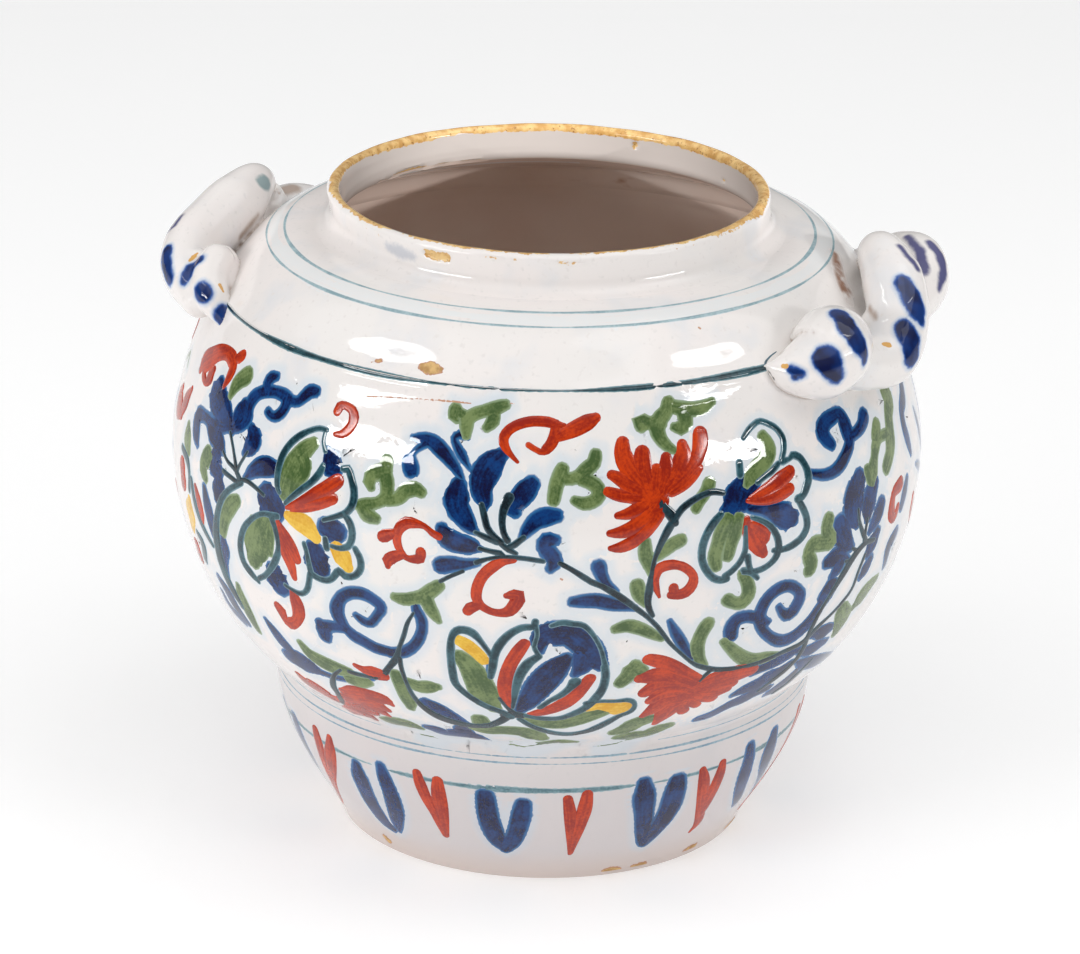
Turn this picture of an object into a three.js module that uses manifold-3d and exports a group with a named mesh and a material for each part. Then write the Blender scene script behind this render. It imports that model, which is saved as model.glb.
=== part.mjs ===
// Tin-glazed earthenware jar with two rope-twist handles lying on its shoulder.
// Millimetres, +Z up. The jar's axis is the Z axis, its foot stands on z = 0 and
// its handles point along +X and -X. The pot is split at its turning lines into
// foot, belly, shoulder and collar, whose flat joint faces lie face to face.

import * as THREE from 'three';
import { mergeVertices } from 'three/addons/utils/BufferGeometryUtils.js';
import Module from 'manifold-3d';

// Height of each turned part, stacked from the ground up
const FOOT_HEIGHT = 44;
const LOWER_BELLY_HEIGHT = 61;
const UPPER_BELLY_HEIGHT = 44;
const SHOULDER_HEIGHT = 15;
const COLLAR_HEIGHT = 10.5;

// Outer radius at each turning line
const BASE_RADIUS = 56;
const WAIST_RADIUS = 72.3;
const BELLY_RADIUS = 100;
const SHOULDER_EDGE_RADIUS = 87;
const COLLAR_FILLET_RADIUS = 3.8;
const COLLAR_RADIUS = 58.2;

// Walls and floor, each measured square to its outer surface
const FLOOR_THICKNESS = 9;
const FOOT_WALL = 7;
const BELLY_WALL = 5.5;
const SHOULDER_WALL = 4.8;
const COLLAR_WALL = 3.3;

// Underside: a flat ring to stand on round a shallow recess
const BASE_RING_WIDTH = 11;
const BASE_RECESS_DEPTH = 2.5;
const BASE_EDGE_CHAMFER = 1.2;
const INSIDE_CORNER_RADIUS = 9;
const WAIST_FILLET_HEIGHT = 3.4;
const WAIST_FILLET_REACH = 2.6;
const SHOULDER_STEP = 0.5;

// Rope handles: two strands twisted round a centre line that bows out from the shoulder edge
const HANDLE_HALF_SPAN_DEG = 26;
const ROPE_END_REACH = -1;
const STRAND_MID_RADIUS = 8.4;
const STRAND_END_RADIUS = 5.5;

// How far each rope's middle stands out past the shoulder edge and up from it, and how far
// its front and rear ends hang below that edge
const RIGHT_MID_REACH = 4;
const RIGHT_MID_RISE = 1.5;
const RIGHT_FRONT_DROP = 2.5;
const RIGHT_REAR_DROP = 7;
const LEFT_MID_REACH = 3;
const LEFT_MID_RISE = 2.5;
const LEFT_FRONT_DROP = 0;
const LEFT_REAR_DROP = 5;

// Clay pads that lute the strand ends to the shoulder edge
const PAD_HALF_DEPTH = 9.5;
const RIGHT_PAD_HALF_HEIGHT = 12.5;
const LEFT_PAD_HALF_HEIGHT = 10;
const PAD_EXTRA_LENGTH = 0.8;
const PAD_CENTRE_REACH = 1.5;

// Pull points of each outer curve, as shares of its run outwards and upwards
const FOOT_CURVE = [[0.23, 0.21], [1.15, 0.6]];
const LOWER_BELLY_CURVE = [[0.68, 0.24], [1, 0.67]];
const UPPER_BELLY_CURVE = [[0, 0.29], [0.49, 0.68]];
const SHOULDER_CURVE = [[0.27, 0.42], [0.42, 1.05]];

// Clearance left round every piece that is cut to fit its neighbour
const FIT_GAP = 0.3;

// Facets
const FOOT_STEPS = 7;
const LOWER_BELLY_STEPS = 8;
const UPPER_BELLY_STEPS = 6;
const SHOULDER_STEPS = 7;
const WAIST_FILLET_STEPS = 2;
const COLLAR_FILLET_STEPS = 3;
const CORNER_STEPS = 4;
const RIM_STEPS = 5;
const TURNED_SIDES = 48;
const STRAND_SIDES = 10;
const STRAND_STEPS = 20;
const PAD_SIDES = 14;
const PAD_RINGS = 8;

// Heights of the turning lines
const WAIST_Z = FOOT_HEIGHT;
const WIDEST_Z = WAIST_Z + LOWER_BELLY_HEIGHT;
const SHOULDER_EDGE_Z = WIDEST_Z + UPPER_BELLY_HEIGHT;
const COLLAR_BASE_Z = SHOULDER_EDGE_Z + SHOULDER_HEIGHT;
const RIM_Z = COLLAR_BASE_Z + COLLAR_HEIGHT;
const FLOOR_Z = BASE_RECESS_DEPTH + FLOOR_THICKNESS;

// Each handle was twisted by hand, so it has its own sizes, and its own twist angle at its
// middle and turn from there to either end
const HANDLES = [
  {
    name: 'right',
    facing: 1,
    midTwistDeg: 96,
    frontTurnDeg: 225,
    rearTurnDeg: 330,
    midReach: RIGHT_MID_REACH,
    frontRise: -RIGHT_FRONT_DROP,
    midRise: RIGHT_MID_RISE,
    rearRise: -RIGHT_REAR_DROP,
    padHalfHeight: RIGHT_PAD_HALF_HEIGHT,
  },
  {
    name: 'left',
    facing: -1,
    midTwistDeg: 0,
    frontTurnDeg: 210,
    rearTurnDeg: 230,
    midReach: LEFT_MID_REACH,
    frontRise: -LEFT_FRONT_DROP,
    midRise: LEFT_MID_RISE,
    rearRise: -LEFT_REAR_DROP,
    padHalfHeight: LEFT_PAD_HALF_HEIGHT,
  },
];

const wasm = await Module();
wasm.setup();

const glaze = { color: 0xe8e4df, roughness: 0.16, metalness: 0 };
const rimGlaze = { color: 0xd9b27c, roughness: 0.55, metalness: 0 };
const ropeGlaze = { color: 0xdfe0e2, roughness: 0.18, metalness: 0 };
const insideGlaze = { color: 0xddd6d0, roughness: 0.2, metalness: 0 };

// A profile point is (radius, height)
function at(radius, height) {
  return new THREE.Vector2(radius, height);
}

// The point a given share of the way from a to b, outwards and upwards
function between(a, b, radiusShare, heightShare) {
  return at(a.x + (b.x - a.x) * radiusShare, a.y + (b.y - a.y) * heightShare);
}

// A smooth curve from a to b, pulled towards the two points at the given shares between them
function cubic(a, b, pulls, steps) {
  const first = between(a, b, pulls[0][0], pulls[0][1]);
  const second = between(a, b, pulls[1][0], pulls[1][1]);
  return new THREE.CubicBezierCurve(a, first, second, b).getPoints(steps);
}

function quadratic(a, corner, b, steps) {
  return new THREE.QuadraticBezierCurve(a, corner, b).getPoints(steps);
}

// Outward unit normal at a point of a profile that runs up the outside
function profileNormal(points, index) {
  const before = points[Math.max(index - 1, 0)];
  const after = points[Math.min(index + 1, points.length - 1)];
  const run = after.clone().sub(before).normalize();
  return at(run.y, -run.x);
}

// The profile moved square to itself; a negative distance moves it into the clay
function offsetProfile(points, distance) {
  return points.map((point, i) => point.clone().addScaledVector(profileNormal(points, i), distance));
}

// The same, with both ends kept on the level of the flat joint faces
function offsetBetweenJoints(points, distance) {
  const moved = offsetProfile(points, distance);
  const last = points.length - 1;
  for (const end of [0, last]) {
    const slant = profileNormal(points, end).x;
    moved[end] = at(points[end].x + distance / slant, points[end].y);
  }
  return moved.filter((point, i) => i === 0 || i === last
    || (point.y > points[0].y && point.y < points[last].y));
}

// A closed geometry as a solid that can be cut, with its shared corners merged
function solidOf(geometry) {
  const plain = geometry.clone();
  plain.deleteAttribute('normal');
  plain.deleteAttribute('uv');
  const merged = mergeVertices(plain, 1e-4);
  return new wasm.Manifold(new wasm.Mesh({
    numProp: 3,
    vertProperties: new Float32Array(merged.attributes.position.array),
    triVerts: new Uint32Array(merged.index.array),
  }));
}

// A solid of revolution about the Z axis
function turned(profile) {
  const geometry = new THREE.LatheGeometry(profile, TURNED_SIDES);
  geometry.rotateX(Math.PI / 2);
  return solidOf(geometry);
}

function geometryOf(solid) {
  const cut = solid.getMesh();
  const geometry = new THREE.BufferGeometry();
  geometry.setAttribute('position', new THREE.BufferAttribute(new Float32Array(cut.vertProperties), 3));
  geometry.setIndex(new THREE.BufferAttribute(new Uint32Array(cut.triVerts), 1));
  geometry.computeVertexNormals();
  return geometry;
}

// The largest body of a trimmed solid, without the crumbs of a knife-edge cut
function mainBody(solid) {
  return solid.decompose().reduce((a, b) => (a.volume() > b.volume() ? a : b));
}

// Outer profiles of the turned parts, each from its lower to its upper joint
function footOutside() {
  const edge = at(BASE_RADIUS, BASE_EDGE_CHAMFER);
  return cubic(edge, at(WAIST_RADIUS, WAIST_Z), FOOT_CURVE, FOOT_STEPS);
}

function lowerBellyOutside() {
  const waist = at(WAIST_RADIUS, WAIST_Z);
  const filletTop = at(WAIST_RADIUS + WAIST_FILLET_REACH, WAIST_Z + WAIST_FILLET_HEIGHT);
  const corner = at(WAIST_RADIUS, WAIST_Z + WAIST_FILLET_HEIGHT / 2);
  const fillet = quadratic(waist, corner, filletTop, WAIST_FILLET_STEPS);
  const bowl = cubic(filletTop, at(BELLY_RADIUS, WIDEST_Z), LOWER_BELLY_CURVE, LOWER_BELLY_STEPS);
  return [...fillet.slice(0, -1), ...bowl];
}

function upperBellyOutside() {
  const widest = at(BELLY_RADIUS, WIDEST_Z);
  const edge = at(SHOULDER_EDGE_RADIUS, SHOULDER_EDGE_Z);
  return cubic(widest, edge, UPPER_BELLY_CURVE, UPPER_BELLY_STEPS);
}

function bellyOutside() {
  return [...lowerBellyOutside(), ...upperBellyOutside().slice(1)];
}

function shoulderOutside() {
  const edge = at(SHOULDER_EDGE_RADIUS - SHOULDER_STEP, SHOULDER_EDGE_Z);
  const collarFoot = at(COLLAR_RADIUS + COLLAR_FILLET_RADIUS, COLLAR_BASE_Z);
  return cubic(edge, collarFoot, SHOULDER_CURVE, SHOULDER_STEPS);
}

// Foot: a dish with a flat standing ring, a recess under its floor and a rounded inside corner
function foot() {
  const outside = footOutside();
  const wallFoot = BASE_RADIUS - BASE_RING_WIDTH;
  const inside = offsetBetweenJoints(outside, -FOOT_WALL).filter((p) => p.y > FLOOR_Z + INSIDE_CORNER_RADIUS);
  const lowest = inside[0];
  const corner = quadratic(
    lowest,
    at(lowest.x - INSIDE_CORNER_RADIUS / 2, FLOOR_Z),
    at(lowest.x - INSIDE_CORNER_RADIUS * 2, FLOOR_Z),
    CORNER_STEPS,
  );
  const profile = [
    at(0, BASE_RECESS_DEPTH),
    at(wallFoot - BASE_RECESS_DEPTH, BASE_RECESS_DEPTH),
    at(wallFoot, 0),
    at(BASE_RADIUS - BASE_EDGE_CHAMFER, 0),
    ...outside,
    ...inside.reverse(),
    ...corner.slice(1),
    at(0, FLOOR_Z),
  ];
  return turned(profile);
}

// Belly: the bowl from the waist to the shoulder edge
function belly() {
  const outside = bellyOutside();
  const inside = offsetBetweenJoints(outside, -BELLY_WALL).reverse();
  return turned([...outside, ...inside, outside[0]]);
}

// Shoulder: the dome that draws in to the collar, with the lip that carries it
function shoulder() {
  const outside = shoulderOutside();
  const collarInside = COLLAR_RADIUS - COLLAR_WALL;
  const underside = offsetBetweenJoints(outside, -SHOULDER_WALL)
    .filter((p, i, all) => i !== all.length - 1 && p.x > collarInside + SHOULDER_WALL / 2)
    .reverse();
  const profile = [
    ...outside,
    at(collarInside, COLLAR_BASE_Z),
    at(collarInside, COLLAR_BASE_Z - SHOULDER_WALL),
    ...underside,
    outside[0],
  ];
  return turned(profile);
}

// Collar: the upright neck, with a fillet at its foot and a rounded rim
function collar() {
  const inside = COLLAR_RADIUS - COLLAR_WALL;
  const roll = COLLAR_WALL / 2;
  const fillet = quadratic(
    at(COLLAR_RADIUS + COLLAR_FILLET_RADIUS, COLLAR_BASE_Z),
    at(COLLAR_RADIUS, COLLAR_BASE_Z),
    at(COLLAR_RADIUS, COLLAR_BASE_Z + COLLAR_FILLET_RADIUS),
    COLLAR_FILLET_STEPS,
  );
  const roundRim = new THREE.EllipseCurve(COLLAR_RADIUS - roll, RIM_Z - roll, roll, roll, 0, Math.PI);
  const rim = roundRim.getPoints(RIM_STEPS);
  return turned([...fillet, ...rim, at(inside, COLLAR_BASE_Z), fillet[0]]);
}

// The pot's outside near the handles as a plain solid, grown by the fit gap
function potGrown() {
  const outside = [...upperBellyOutside(), ...shoulderOutside().slice(1)];
  const grown = offsetProfile(outside, FIT_GAP);
  const first = grown[0];
  const last = grown[grown.length - 1];
  return turned([at(0, first.y), ...grown, at(0, last.y)]);
}

// How high the rope's centre line ends above the shoulder edge, at its nearer end
function endRise(handle, share) {
  return share < 0 ? handle.frontRise : handle.rearRise;
}

// Centre of one strand at a share from -1 (front end) to 1 (rear end) of its handle
function strandCentre(handle, halfTurn, share) {
  const bow = 1 - share * share;
  const angle = THREE.MathUtils.degToRad(HANDLE_HALF_SPAN_DEG * share);
  const turnDeg = share < 0 ? handle.frontTurnDeg : handle.rearTurnDeg;
  const twist = THREE.MathUtils.degToRad(handle.midTwistDeg + halfTurn + turnDeg * share);
  const arm = strandRadius(share) + FIT_GAP / 2;
  const reach = ROPE_END_REACH + (handle.midReach - ROPE_END_REACH) * bow;
  const rise = endRise(handle, share) + (handle.midRise - endRise(handle, share)) * bow;
  const radius = SHOULDER_EDGE_RADIUS + reach + arm * Math.cos(twist);
  const height = SHOULDER_EDGE_Z + rise + arm * Math.sin(twist);
  return new THREE.Vector3(handle.facing * radius * Math.cos(angle), radius * Math.sin(angle), height);
}

// A strand is full round its middle and thins towards both ends
function strandRadius(share) {
  return STRAND_END_RADIUS + (STRAND_MID_RADIUS - STRAND_END_RADIUS) * (1 - Math.abs(share) ** 3);
}

// A rolled strand of clay: rings square to its centre line, closed by flat ends
function rolledStrand(handle, halfTurn, extraRadius) {
  const centres = [];
  for (let i = 0; i <= STRAND_STEPS; i += 1) {
    centres.push(strandCentre(handle, halfTurn, -1 + 2 * i / STRAND_STEPS));
  }
  const path = new THREE.CatmullRomCurve3(centres);
  const frames = path.computeFrenetFrames(STRAND_STEPS, false);
  const positions = [];
  const index = [];
  for (let i = 0; i <= STRAND_STEPS; i += 1) {
    const centre = path.getPointAt(i / STRAND_STEPS);
    const share = -1 + 2 * path.getUtoTmapping(i / STRAND_STEPS);
    const radius = strandRadius(share) + extraRadius;
    if (Math.abs(share) === 1) {
      centre.addScaledVector(frames.tangents[i], share * extraRadius);
    }
    for (let k = 0; k < STRAND_SIDES; k += 1) {
      const turn = 2 * Math.PI * k / STRAND_SIDES;
      const rim = centre.clone();
      rim.addScaledVector(frames.normals[i], radius * Math.cos(turn));
      rim.addScaledVector(frames.binormals[i], radius * Math.sin(turn));
      positions.push(rim.x, rim.y, rim.z);
    }
  }
  for (let i = 0; i < STRAND_STEPS; i += 1) {
    for (let k = 0; k < STRAND_SIDES; k += 1) {
      const a = i * STRAND_SIDES + k;
      const b = i * STRAND_SIDES + (k + 1) % STRAND_SIDES;
      index.push(a, b, a + STRAND_SIDES, b, b + STRAND_SIDES, a + STRAND_SIDES);
    }
  }
  const lastRing = STRAND_STEPS * STRAND_SIDES;
  for (let k = 1; k < STRAND_SIDES - 1; k += 1) {
    index.push(0, k + 1, k, lastRing, lastRing + k, lastRing + k + 1);
  }
  const geometry = new THREE.BufferGeometry();
  geometry.setAttribute('position', new THREE.Float32BufferAttribute(positions, 3));
  geometry.setIndex(index);
  return solidOf(geometry);
}

// A pad of clay pressed over the strand ends, its long axis along the shoulder edge
function pressedPad(handle, end) {
  const angle = THREE.MathUtils.degToRad(HANDLE_HALF_SPAN_DEG * end);
  const radius = SHOULDER_EDGE_RADIUS + PAD_CENTRE_REACH;
  const geometry = new THREE.SphereGeometry(1, PAD_SIDES, PAD_RINGS);
  geometry.scale(PAD_HALF_DEPTH, handle.padHalfHeight, handle.padHalfHeight + PAD_EXTRA_LENGTH);
  geometry.rotateX(Math.PI / 2);
  geometry.rotateZ(handle.facing * angle);
  const height = SHOULDER_EDGE_Z + endRise(handle, end);
  geometry.translate(handle.facing * radius * Math.cos(angle), radius * Math.sin(angle), height);
  return solidOf(geometry);
}

const jar = new THREE.Group();

function add(name, solid, look) {
  const mesh = new THREE.Mesh(geometryOf(solid), new THREE.MeshStandardMaterial(look));
  mesh.name = name;
  jar.add(mesh);
}

add('foot', foot(), insideGlaze);
add('belly', belly(), glaze);
add('shoulder', shoulder(), glaze);
add('collar', collar(), rimGlaze);

const pot = potGrown();
for (const handle of HANDLES) {
  const pockets = [];
  for (const [number, halfTurn] of [[1, 0], [2, 180]]) {
    let strand = rolledStrand(handle, halfTurn, 0).subtract(pot);
    for (const pocket of pockets) {
      strand = strand.subtract(pocket);
    }
    add(`${handle.name}_handle_strand_${number}`, mainBody(strand), ropeGlaze);
    pockets.push(rolledStrand(handle, halfTurn, FIT_GAP));
  }
  for (const [place, end] of [['front', -1], ['rear', 1]]) {
    let pad = pressedPad(handle, end).subtract(pot);
    for (const pocket of pockets) {
      pad = pad.subtract(pocket);
    }
    add(`${handle.name}_handle_${place}_pad`, mainBody(pad), ropeGlaze);
  }
}

export default jar;
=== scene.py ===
import math

import bmesh
import bpy
import numpy as np
from mathutils import Matrix, Vector


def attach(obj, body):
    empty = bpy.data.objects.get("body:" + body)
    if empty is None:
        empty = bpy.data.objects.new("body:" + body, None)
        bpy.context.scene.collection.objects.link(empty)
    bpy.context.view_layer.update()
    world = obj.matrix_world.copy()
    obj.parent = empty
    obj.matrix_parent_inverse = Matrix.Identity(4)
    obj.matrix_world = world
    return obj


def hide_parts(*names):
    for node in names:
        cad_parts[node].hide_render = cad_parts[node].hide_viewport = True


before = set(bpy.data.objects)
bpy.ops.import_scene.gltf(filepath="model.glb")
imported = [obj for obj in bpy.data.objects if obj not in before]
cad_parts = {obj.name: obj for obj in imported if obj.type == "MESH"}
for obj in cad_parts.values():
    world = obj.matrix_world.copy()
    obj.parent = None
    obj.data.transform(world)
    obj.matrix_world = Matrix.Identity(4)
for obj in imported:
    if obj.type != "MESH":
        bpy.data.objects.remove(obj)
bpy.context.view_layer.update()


# Foot. The pot's standing foot: red-buff clay under a white tin glaze, thrown on the wheel
# in one run with the wall above it, so the outer line of that whole wall is drawn here. It
# stands on a narrow ring round a shallow recess, trimmed when the clay was firm.
MM = 0.001
GLAZE_INSET = 0.5  # the glaze lies this far inside the line drawn for the wall
BASE_RADIUS, BASE_CHAMFER, BASE_RING, RECESS_DEPTH = 56, 1.2, 11, 2.5
FOOT_WALL, FLOOR_HEIGHT = 7, 11.5
WAIST, WAIST_INSIDE = (72.3, 44), 65.3
LOW_BELLY, WIDEST, BELLY_EDGE = (74.9, 47.4), (100, 105), (87, 149)
COLLAR_FOOT, COLLAR_RADIUS = (62, 164), 58.2
INSIDE_DEPTH, INSIDE_LOW, INSIDE_HIGH = 2.6, 4, 164.6  # where the inside glaze begins


def curved(a, b, pulls, steps):
    """A smooth line from a to b, pulled towards two points given as shares of the way."""
    a, b = np.array(a, float), np.array(b, float)
    one, two = a + (b - a) * np.array(pulls[0]), a + (b - a) * np.array(pulls[1])
    t = np.linspace(0, 1, steps + 1)[:, None]
    return (1 - t) ** 3 * a + 3 * (1 - t) ** 2 * t * one + 3 * (1 - t) * t * t * two + t ** 3 * b


foot_line = curved((BASE_RADIUS, BASE_CHAMFER), WAIST, ((0.23, 0.21), (1.15, 0.6)), 30)
waist_fillet = curved(WAIST, LOW_BELLY, ((0, 0.33), (0.35, 0.67)), 5)
lower_belly = curved(LOW_BELLY, WIDEST, ((0.68, 0.24), (1, 0.67)), 44)
upper_belly = curved(WIDEST, BELLY_EDGE, ((0, 0.29), (0.49, 0.68)), 34)
belly_line = np.vstack([waist_fillet, lower_belly[1:], upper_belly[1:]])
shoulder_line = curved((86.5, 149), COLLAR_FOOT, ((0.27, 0.42), (0.42, 1.05)), 26)
glaze_bead = curved(COLLAR_FOOT, (COLLAR_RADIUS, 167.8), ((0.55, 0), (1, 0.45)), 8)
collar_line = np.vstack([glaze_bead, [(COLLAR_RADIUS, 173)]])
wall_line = np.vstack([foot_line, belly_line[1:], shoulder_line, collar_line[1:]])
wall_run = np.concatenate([[0], np.cumsum(np.hypot(*np.diff(wall_line, axis=0).T))])
wall_along = np.gradient(wall_line, wall_run, axis=0)
wall_out = np.stack([wall_along[:, 1], -wall_along[:, 0]], 1)
wall_out /= np.linalg.norm(wall_out, axis=1)[:, None]


def run_at(height):
    """How far along the wall's outer line, from the ground up, a height lies."""
    return np.interp(height, np.maximum.accumulate(wall_line[:, 1]), wall_run)


def wall_swell(angle, height):
    """The small unevenness of a hand-thrown wall, square to it."""
    rings = 0.008 * np.sin(height * 0.83 + 0.7 * np.sin(angle))
    bumps = 0.08 * np.sin(2 * angle + 0.9 + height / 31) + 0.05 * np.sin(5 * angle - height / 17)
    return rings + bumps


def on_wall(degrees, run, lift):
    """Points on the glaze at these degrees and distances along the wall, lifted off it."""
    angle = np.radians(degrees)
    radius, height = (np.interp(run, wall_run, wall_line[:, i]) for i in (0, 1))
    out_r, out_z = (np.interp(run, wall_run, wall_out[:, i]) for i in (0, 1))
    stand = wall_swell(angle, height) + lift - GLAZE_INSET
    radius, height = radius + out_r * stand, height + out_z * stand
    return np.stack([radius * np.sin(angle), -radius * np.cos(angle), height], -1) * MM


def inner_face(line, wall, low_radius, high_radius):
    """The inside of a stretch of wall, from its top down, ending level with the outside."""
    along = np.gradient(line, axis=0)
    out = np.stack([along[:, 1], -along[:, 0]], 1)
    moved = line - wall * out / np.linalg.norm(out, axis=1)[:, None]
    inside = moved[(moved[:, 1] > line[0, 1] + 1) & (moved[:, 1] < line[-1, 1] - 1)]
    return np.vstack([[(low_radius, line[0, 1])], inside, [(high_radius, line[-1, 1])]])[::-1]


def spun(name, profile, sides=256):
    """A thrown part: its closed profile of (radius, height) turned round the pot's axis."""
    bm = bmesh.new()
    corners = [bm.verts.new((r * MM, 0, z * MM)) for r, z in profile]
    ring = corners if profile[0][0] == 0 else corners + corners[:1]
    lines = [bm.edges.new(pair) for pair in zip(ring, ring[1:])]
    bmesh.ops.spin(
        bm, geom=corners + lines, cent=(0, 0, 0), axis=(0, 0, 1),
        angle=2 * math.pi, steps=sides, use_merge=True,
    )
    bmesh.ops.remove_doubles(bm, verts=bm.verts, dist=1e-7)
    bmesh.ops.recalc_face_normals(bm, faces=bm.faces)
    x, y, z = np.array([v.co for v in bm.verts]).T / MM
    radius, angle = np.maximum(np.hypot(x, y), 1e-9), np.arctan2(x, -y)
    near = [
        np.argmin((wall_line[:, 0] - r) ** 2 + (wall_line[:, 1] - h) ** 2)
        for r, h in zip(radius, z)
    ]
    stand = (wall_swell(angle, wall_line[near, 1]) - GLAZE_INSET) * ((radius > 1) & (z > 0.5))
    out_r, out_z = wall_out[near].T
    moves = np.stack([x / radius * out_r, y / radius * out_r, out_z], 1) * stand[:, None]
    for v, move in zip(bm.verts, moves):
        v.co += Vector(move) * MM
    for face in bm.faces:
        middle = face.calc_center_median() / MM
        away = wall_line - (math.hypot(middle.x, middle.y), middle.z)
        deep = np.hypot(away[:, 0], away[:, 1]).min() > INSIDE_DEPTH
        face.material_index = int(deep and INSIDE_LOW < middle.z < INSIDE_HIGH)
    return bm


def finished(name, bm, *materials, crease=35):
    """The mesh as a piece of the jar, smooth but for its real corners."""
    mesh = bpy.data.meshes.new(name)
    bm.to_mesh(mesh)
    bm.free()
    mesh.shade_smooth()
    mesh.set_sharp_from_angle(angle=math.radians(crease))
    for coat in materials:
        mesh.materials.append(coat)
    piece = bpy.data.objects.new(name, mesh)
    bpy.context.scene.collection.objects.link(piece)
    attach(piece, "root")
    return piece


def tone(red, green, blue):
    """A colour as the eye reads it, 0 to 255 each, made ready for a shader."""
    return tuple(((c / 255 + 0.055) / 1.055) ** 2.4 for c in (red, green, blue)) + (1,)


def add(tree, kind, inputs, **settings):
    """A shader node with its settings, and its inputs joined or set."""
    made = tree.nodes.new("ShaderNode" + kind)
    for name, value in settings.items():
        setattr(made, name, value)
    for socket, value in inputs.items():
        if isinstance(value, bpy.types.NodeSocket):
            tree.links.new(value, made.inputs[socket])
        else:
            made.inputs[socket].default_value = value
    return made


def jar_place(tree):
    """Where a point lies in the jar's frame, in metres."""
    return add(tree, "TexCoord", {}).outputs["Object"]


def height_above_ground(tree):
    """How high a point lies, in metres."""
    return add(tree, "SeparateXYZ", {0: jar_place(tree)}).outputs[2]


def clouds(tree, scale, detail=2.0):
    """Soft noise through the clay, with this many patches to the metre."""
    inputs = {"Vector": jar_place(tree), "Scale": scale, "Detail": detail}
    return add(tree, "TexNoise", inputs).outputs[0]


def rising(tree, value, low, high):
    """0 where a value is below low, 1 above high, and smooth between."""
    inputs = {"Value": value, "From Min": low, "From Max": high}
    return add(tree, "MapRange", inputs, interpolation_type="SMOOTHSTEP").outputs[0]


def sums(tree, operation, a, b):
    """One sum of two values, each a number or a socket."""
    return add(tree, "Math", {0: a, 1: b}, operation=operation).outputs[0]


def blended(tree, share, a, b):
    """Colour a turning into colour b."""
    return add(tree, "Mix", {0: share, 6: a, 7: b}, data_type="RGBA").outputs[2]


def tin_white(tree):
    """The glaze's white: clouded warm and cool, faintly mottled, greyer below 62 mm as painted
    shade under the belly, browner near the ground, with sparse brown specks."""
    broad = rising(tree, clouds(tree, 22), 0.35, 0.7)
    white = blended(tree, broad, tone(233, 229, 226), tone(236, 229, 226))
    white = blended(tree, rising(tree, clouds(tree, 60, 3), 0.5, 0.75), white, tone(224, 223, 224))
    white = blended(tree, rising(tree, clouds(tree, 700, 1), 0.6, 0.8), white, tone(226, 221, 218))
    # Painted shade: greyer below 62 mm, where the belly's overhang shades the waist and foot.
    foot = rising(tree, height_above_ground(tree), 0.062, 0.03)
    white = blended(tree, sums(tree, "MULTIPLY", foot, 0.8), white, tone(202, 195, 196))
    low = rising(tree, height_above_ground(tree), 0.012, 0.001)
    white = blended(tree, sums(tree, "MULTIPLY", low, 0.4), white, tone(214, 190, 174))
    dots = add(tree, "TexVoronoi", {"Vector": jar_place(tree), "Scale": 170}, feature="F1")
    draw = add(tree, "SeparateColor", {0: dots.outputs["Color"]}).outputs[0]
    near_dot = rising(tree, dots.outputs["Distance"], 0.07, 0.03)
    speck = sums(tree, "MULTIPLY", near_dot, rising(tree, draw, 0.985, 0.99))
    return blended(tree, speck, white, tone(120, 84, 62))


def glossy(name, colour_of, roughness=0.03):
    """A fired glaze of some colour, with the faint ripple that it sets with."""
    material = bpy.data.materials.new(name)
    material.use_nodes = True
    tree = material.node_tree
    shader = tree.nodes["Principled BSDF"]
    tree.links.new(colour_of(tree), shader.inputs["Base Color"])
    shader.inputs["Roughness"].default_value = roughness
    fine = sums(tree, "MULTIPLY", clouds(tree, 900, 1), 0.035)
    ripple = sums(tree, "ADD", clouds(tree, 75, 1), fine)
    bump = add(tree, "Bump", {"Height": ripple, "Strength": 0.35, "Distance": 0.0004})
    tree.links.new(bump.outputs[0], shader.inputs["Normal"])
    return material


def inner_white(tree):
    """The glaze inside, thinner and warmer, with the buff clay showing through it."""
    thin = rising(tree, clouds(tree, 30), 0.3, 0.7)
    buff = blended(tree, thin, tone(232, 217, 207), tone(224, 203, 190))
    stained = rising(tree, clouds(tree, 45, 4), 0.62, 0.72)
    return blended(tree, stained, buff, tone(176, 136, 108))


white_glaze = glossy("white_tin_glaze", tin_white)
inside_glaze = glossy("thin_inside_glaze", inner_white, 0.16)
foot_wall = inner_face(foot_line, FOOT_WALL, 52, WAIST_INSIDE)
foot_wall = foot_wall[foot_wall[:, 1] > FLOOR_HEIGHT + 9]
floor_edge = (foot_wall[-1, 0] - 18, FLOOR_HEIGHT)
foot_corner = curved(foot_wall[-1], floor_edge, ((0.17, 0.67), (0.5, 1)), 8)
foot_profile = [
    (0, RECESS_DEPTH), (BASE_RADIUS - BASE_RING - RECESS_DEPTH, RECESS_DEPTH),
    (BASE_RADIUS - BASE_RING, 0), (BASE_RADIUS - BASE_CHAMFER, 0), *foot_line,
    *foot_wall, *foot_corner[1:], (0, FLOOR_HEIGHT),
]
glazed_foot = finished("glazed_foot", spun("glazed_foot", foot_profile), white_glaze, inside_glaze)
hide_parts("foot")


# Belly. The full round wall of the pot, thrown in one with the foot and pulled in again to
# the edge of the shoulder, where a knife or nail left a fine ridge. Glazed inside and out.
BELLY_WALL, EDGE_INSIDE = 5.5, 80.4
belly_profile = [*belly_line, *inner_face(belly_line, BELLY_WALL, WAIST_INSIDE, EDGE_INSIDE)]
belly_bm = spun("glazed_belly", belly_profile)
glazed_belly = finished("glazed_belly", belly_bm, white_glaze, inside_glaze)
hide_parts("belly")


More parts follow.
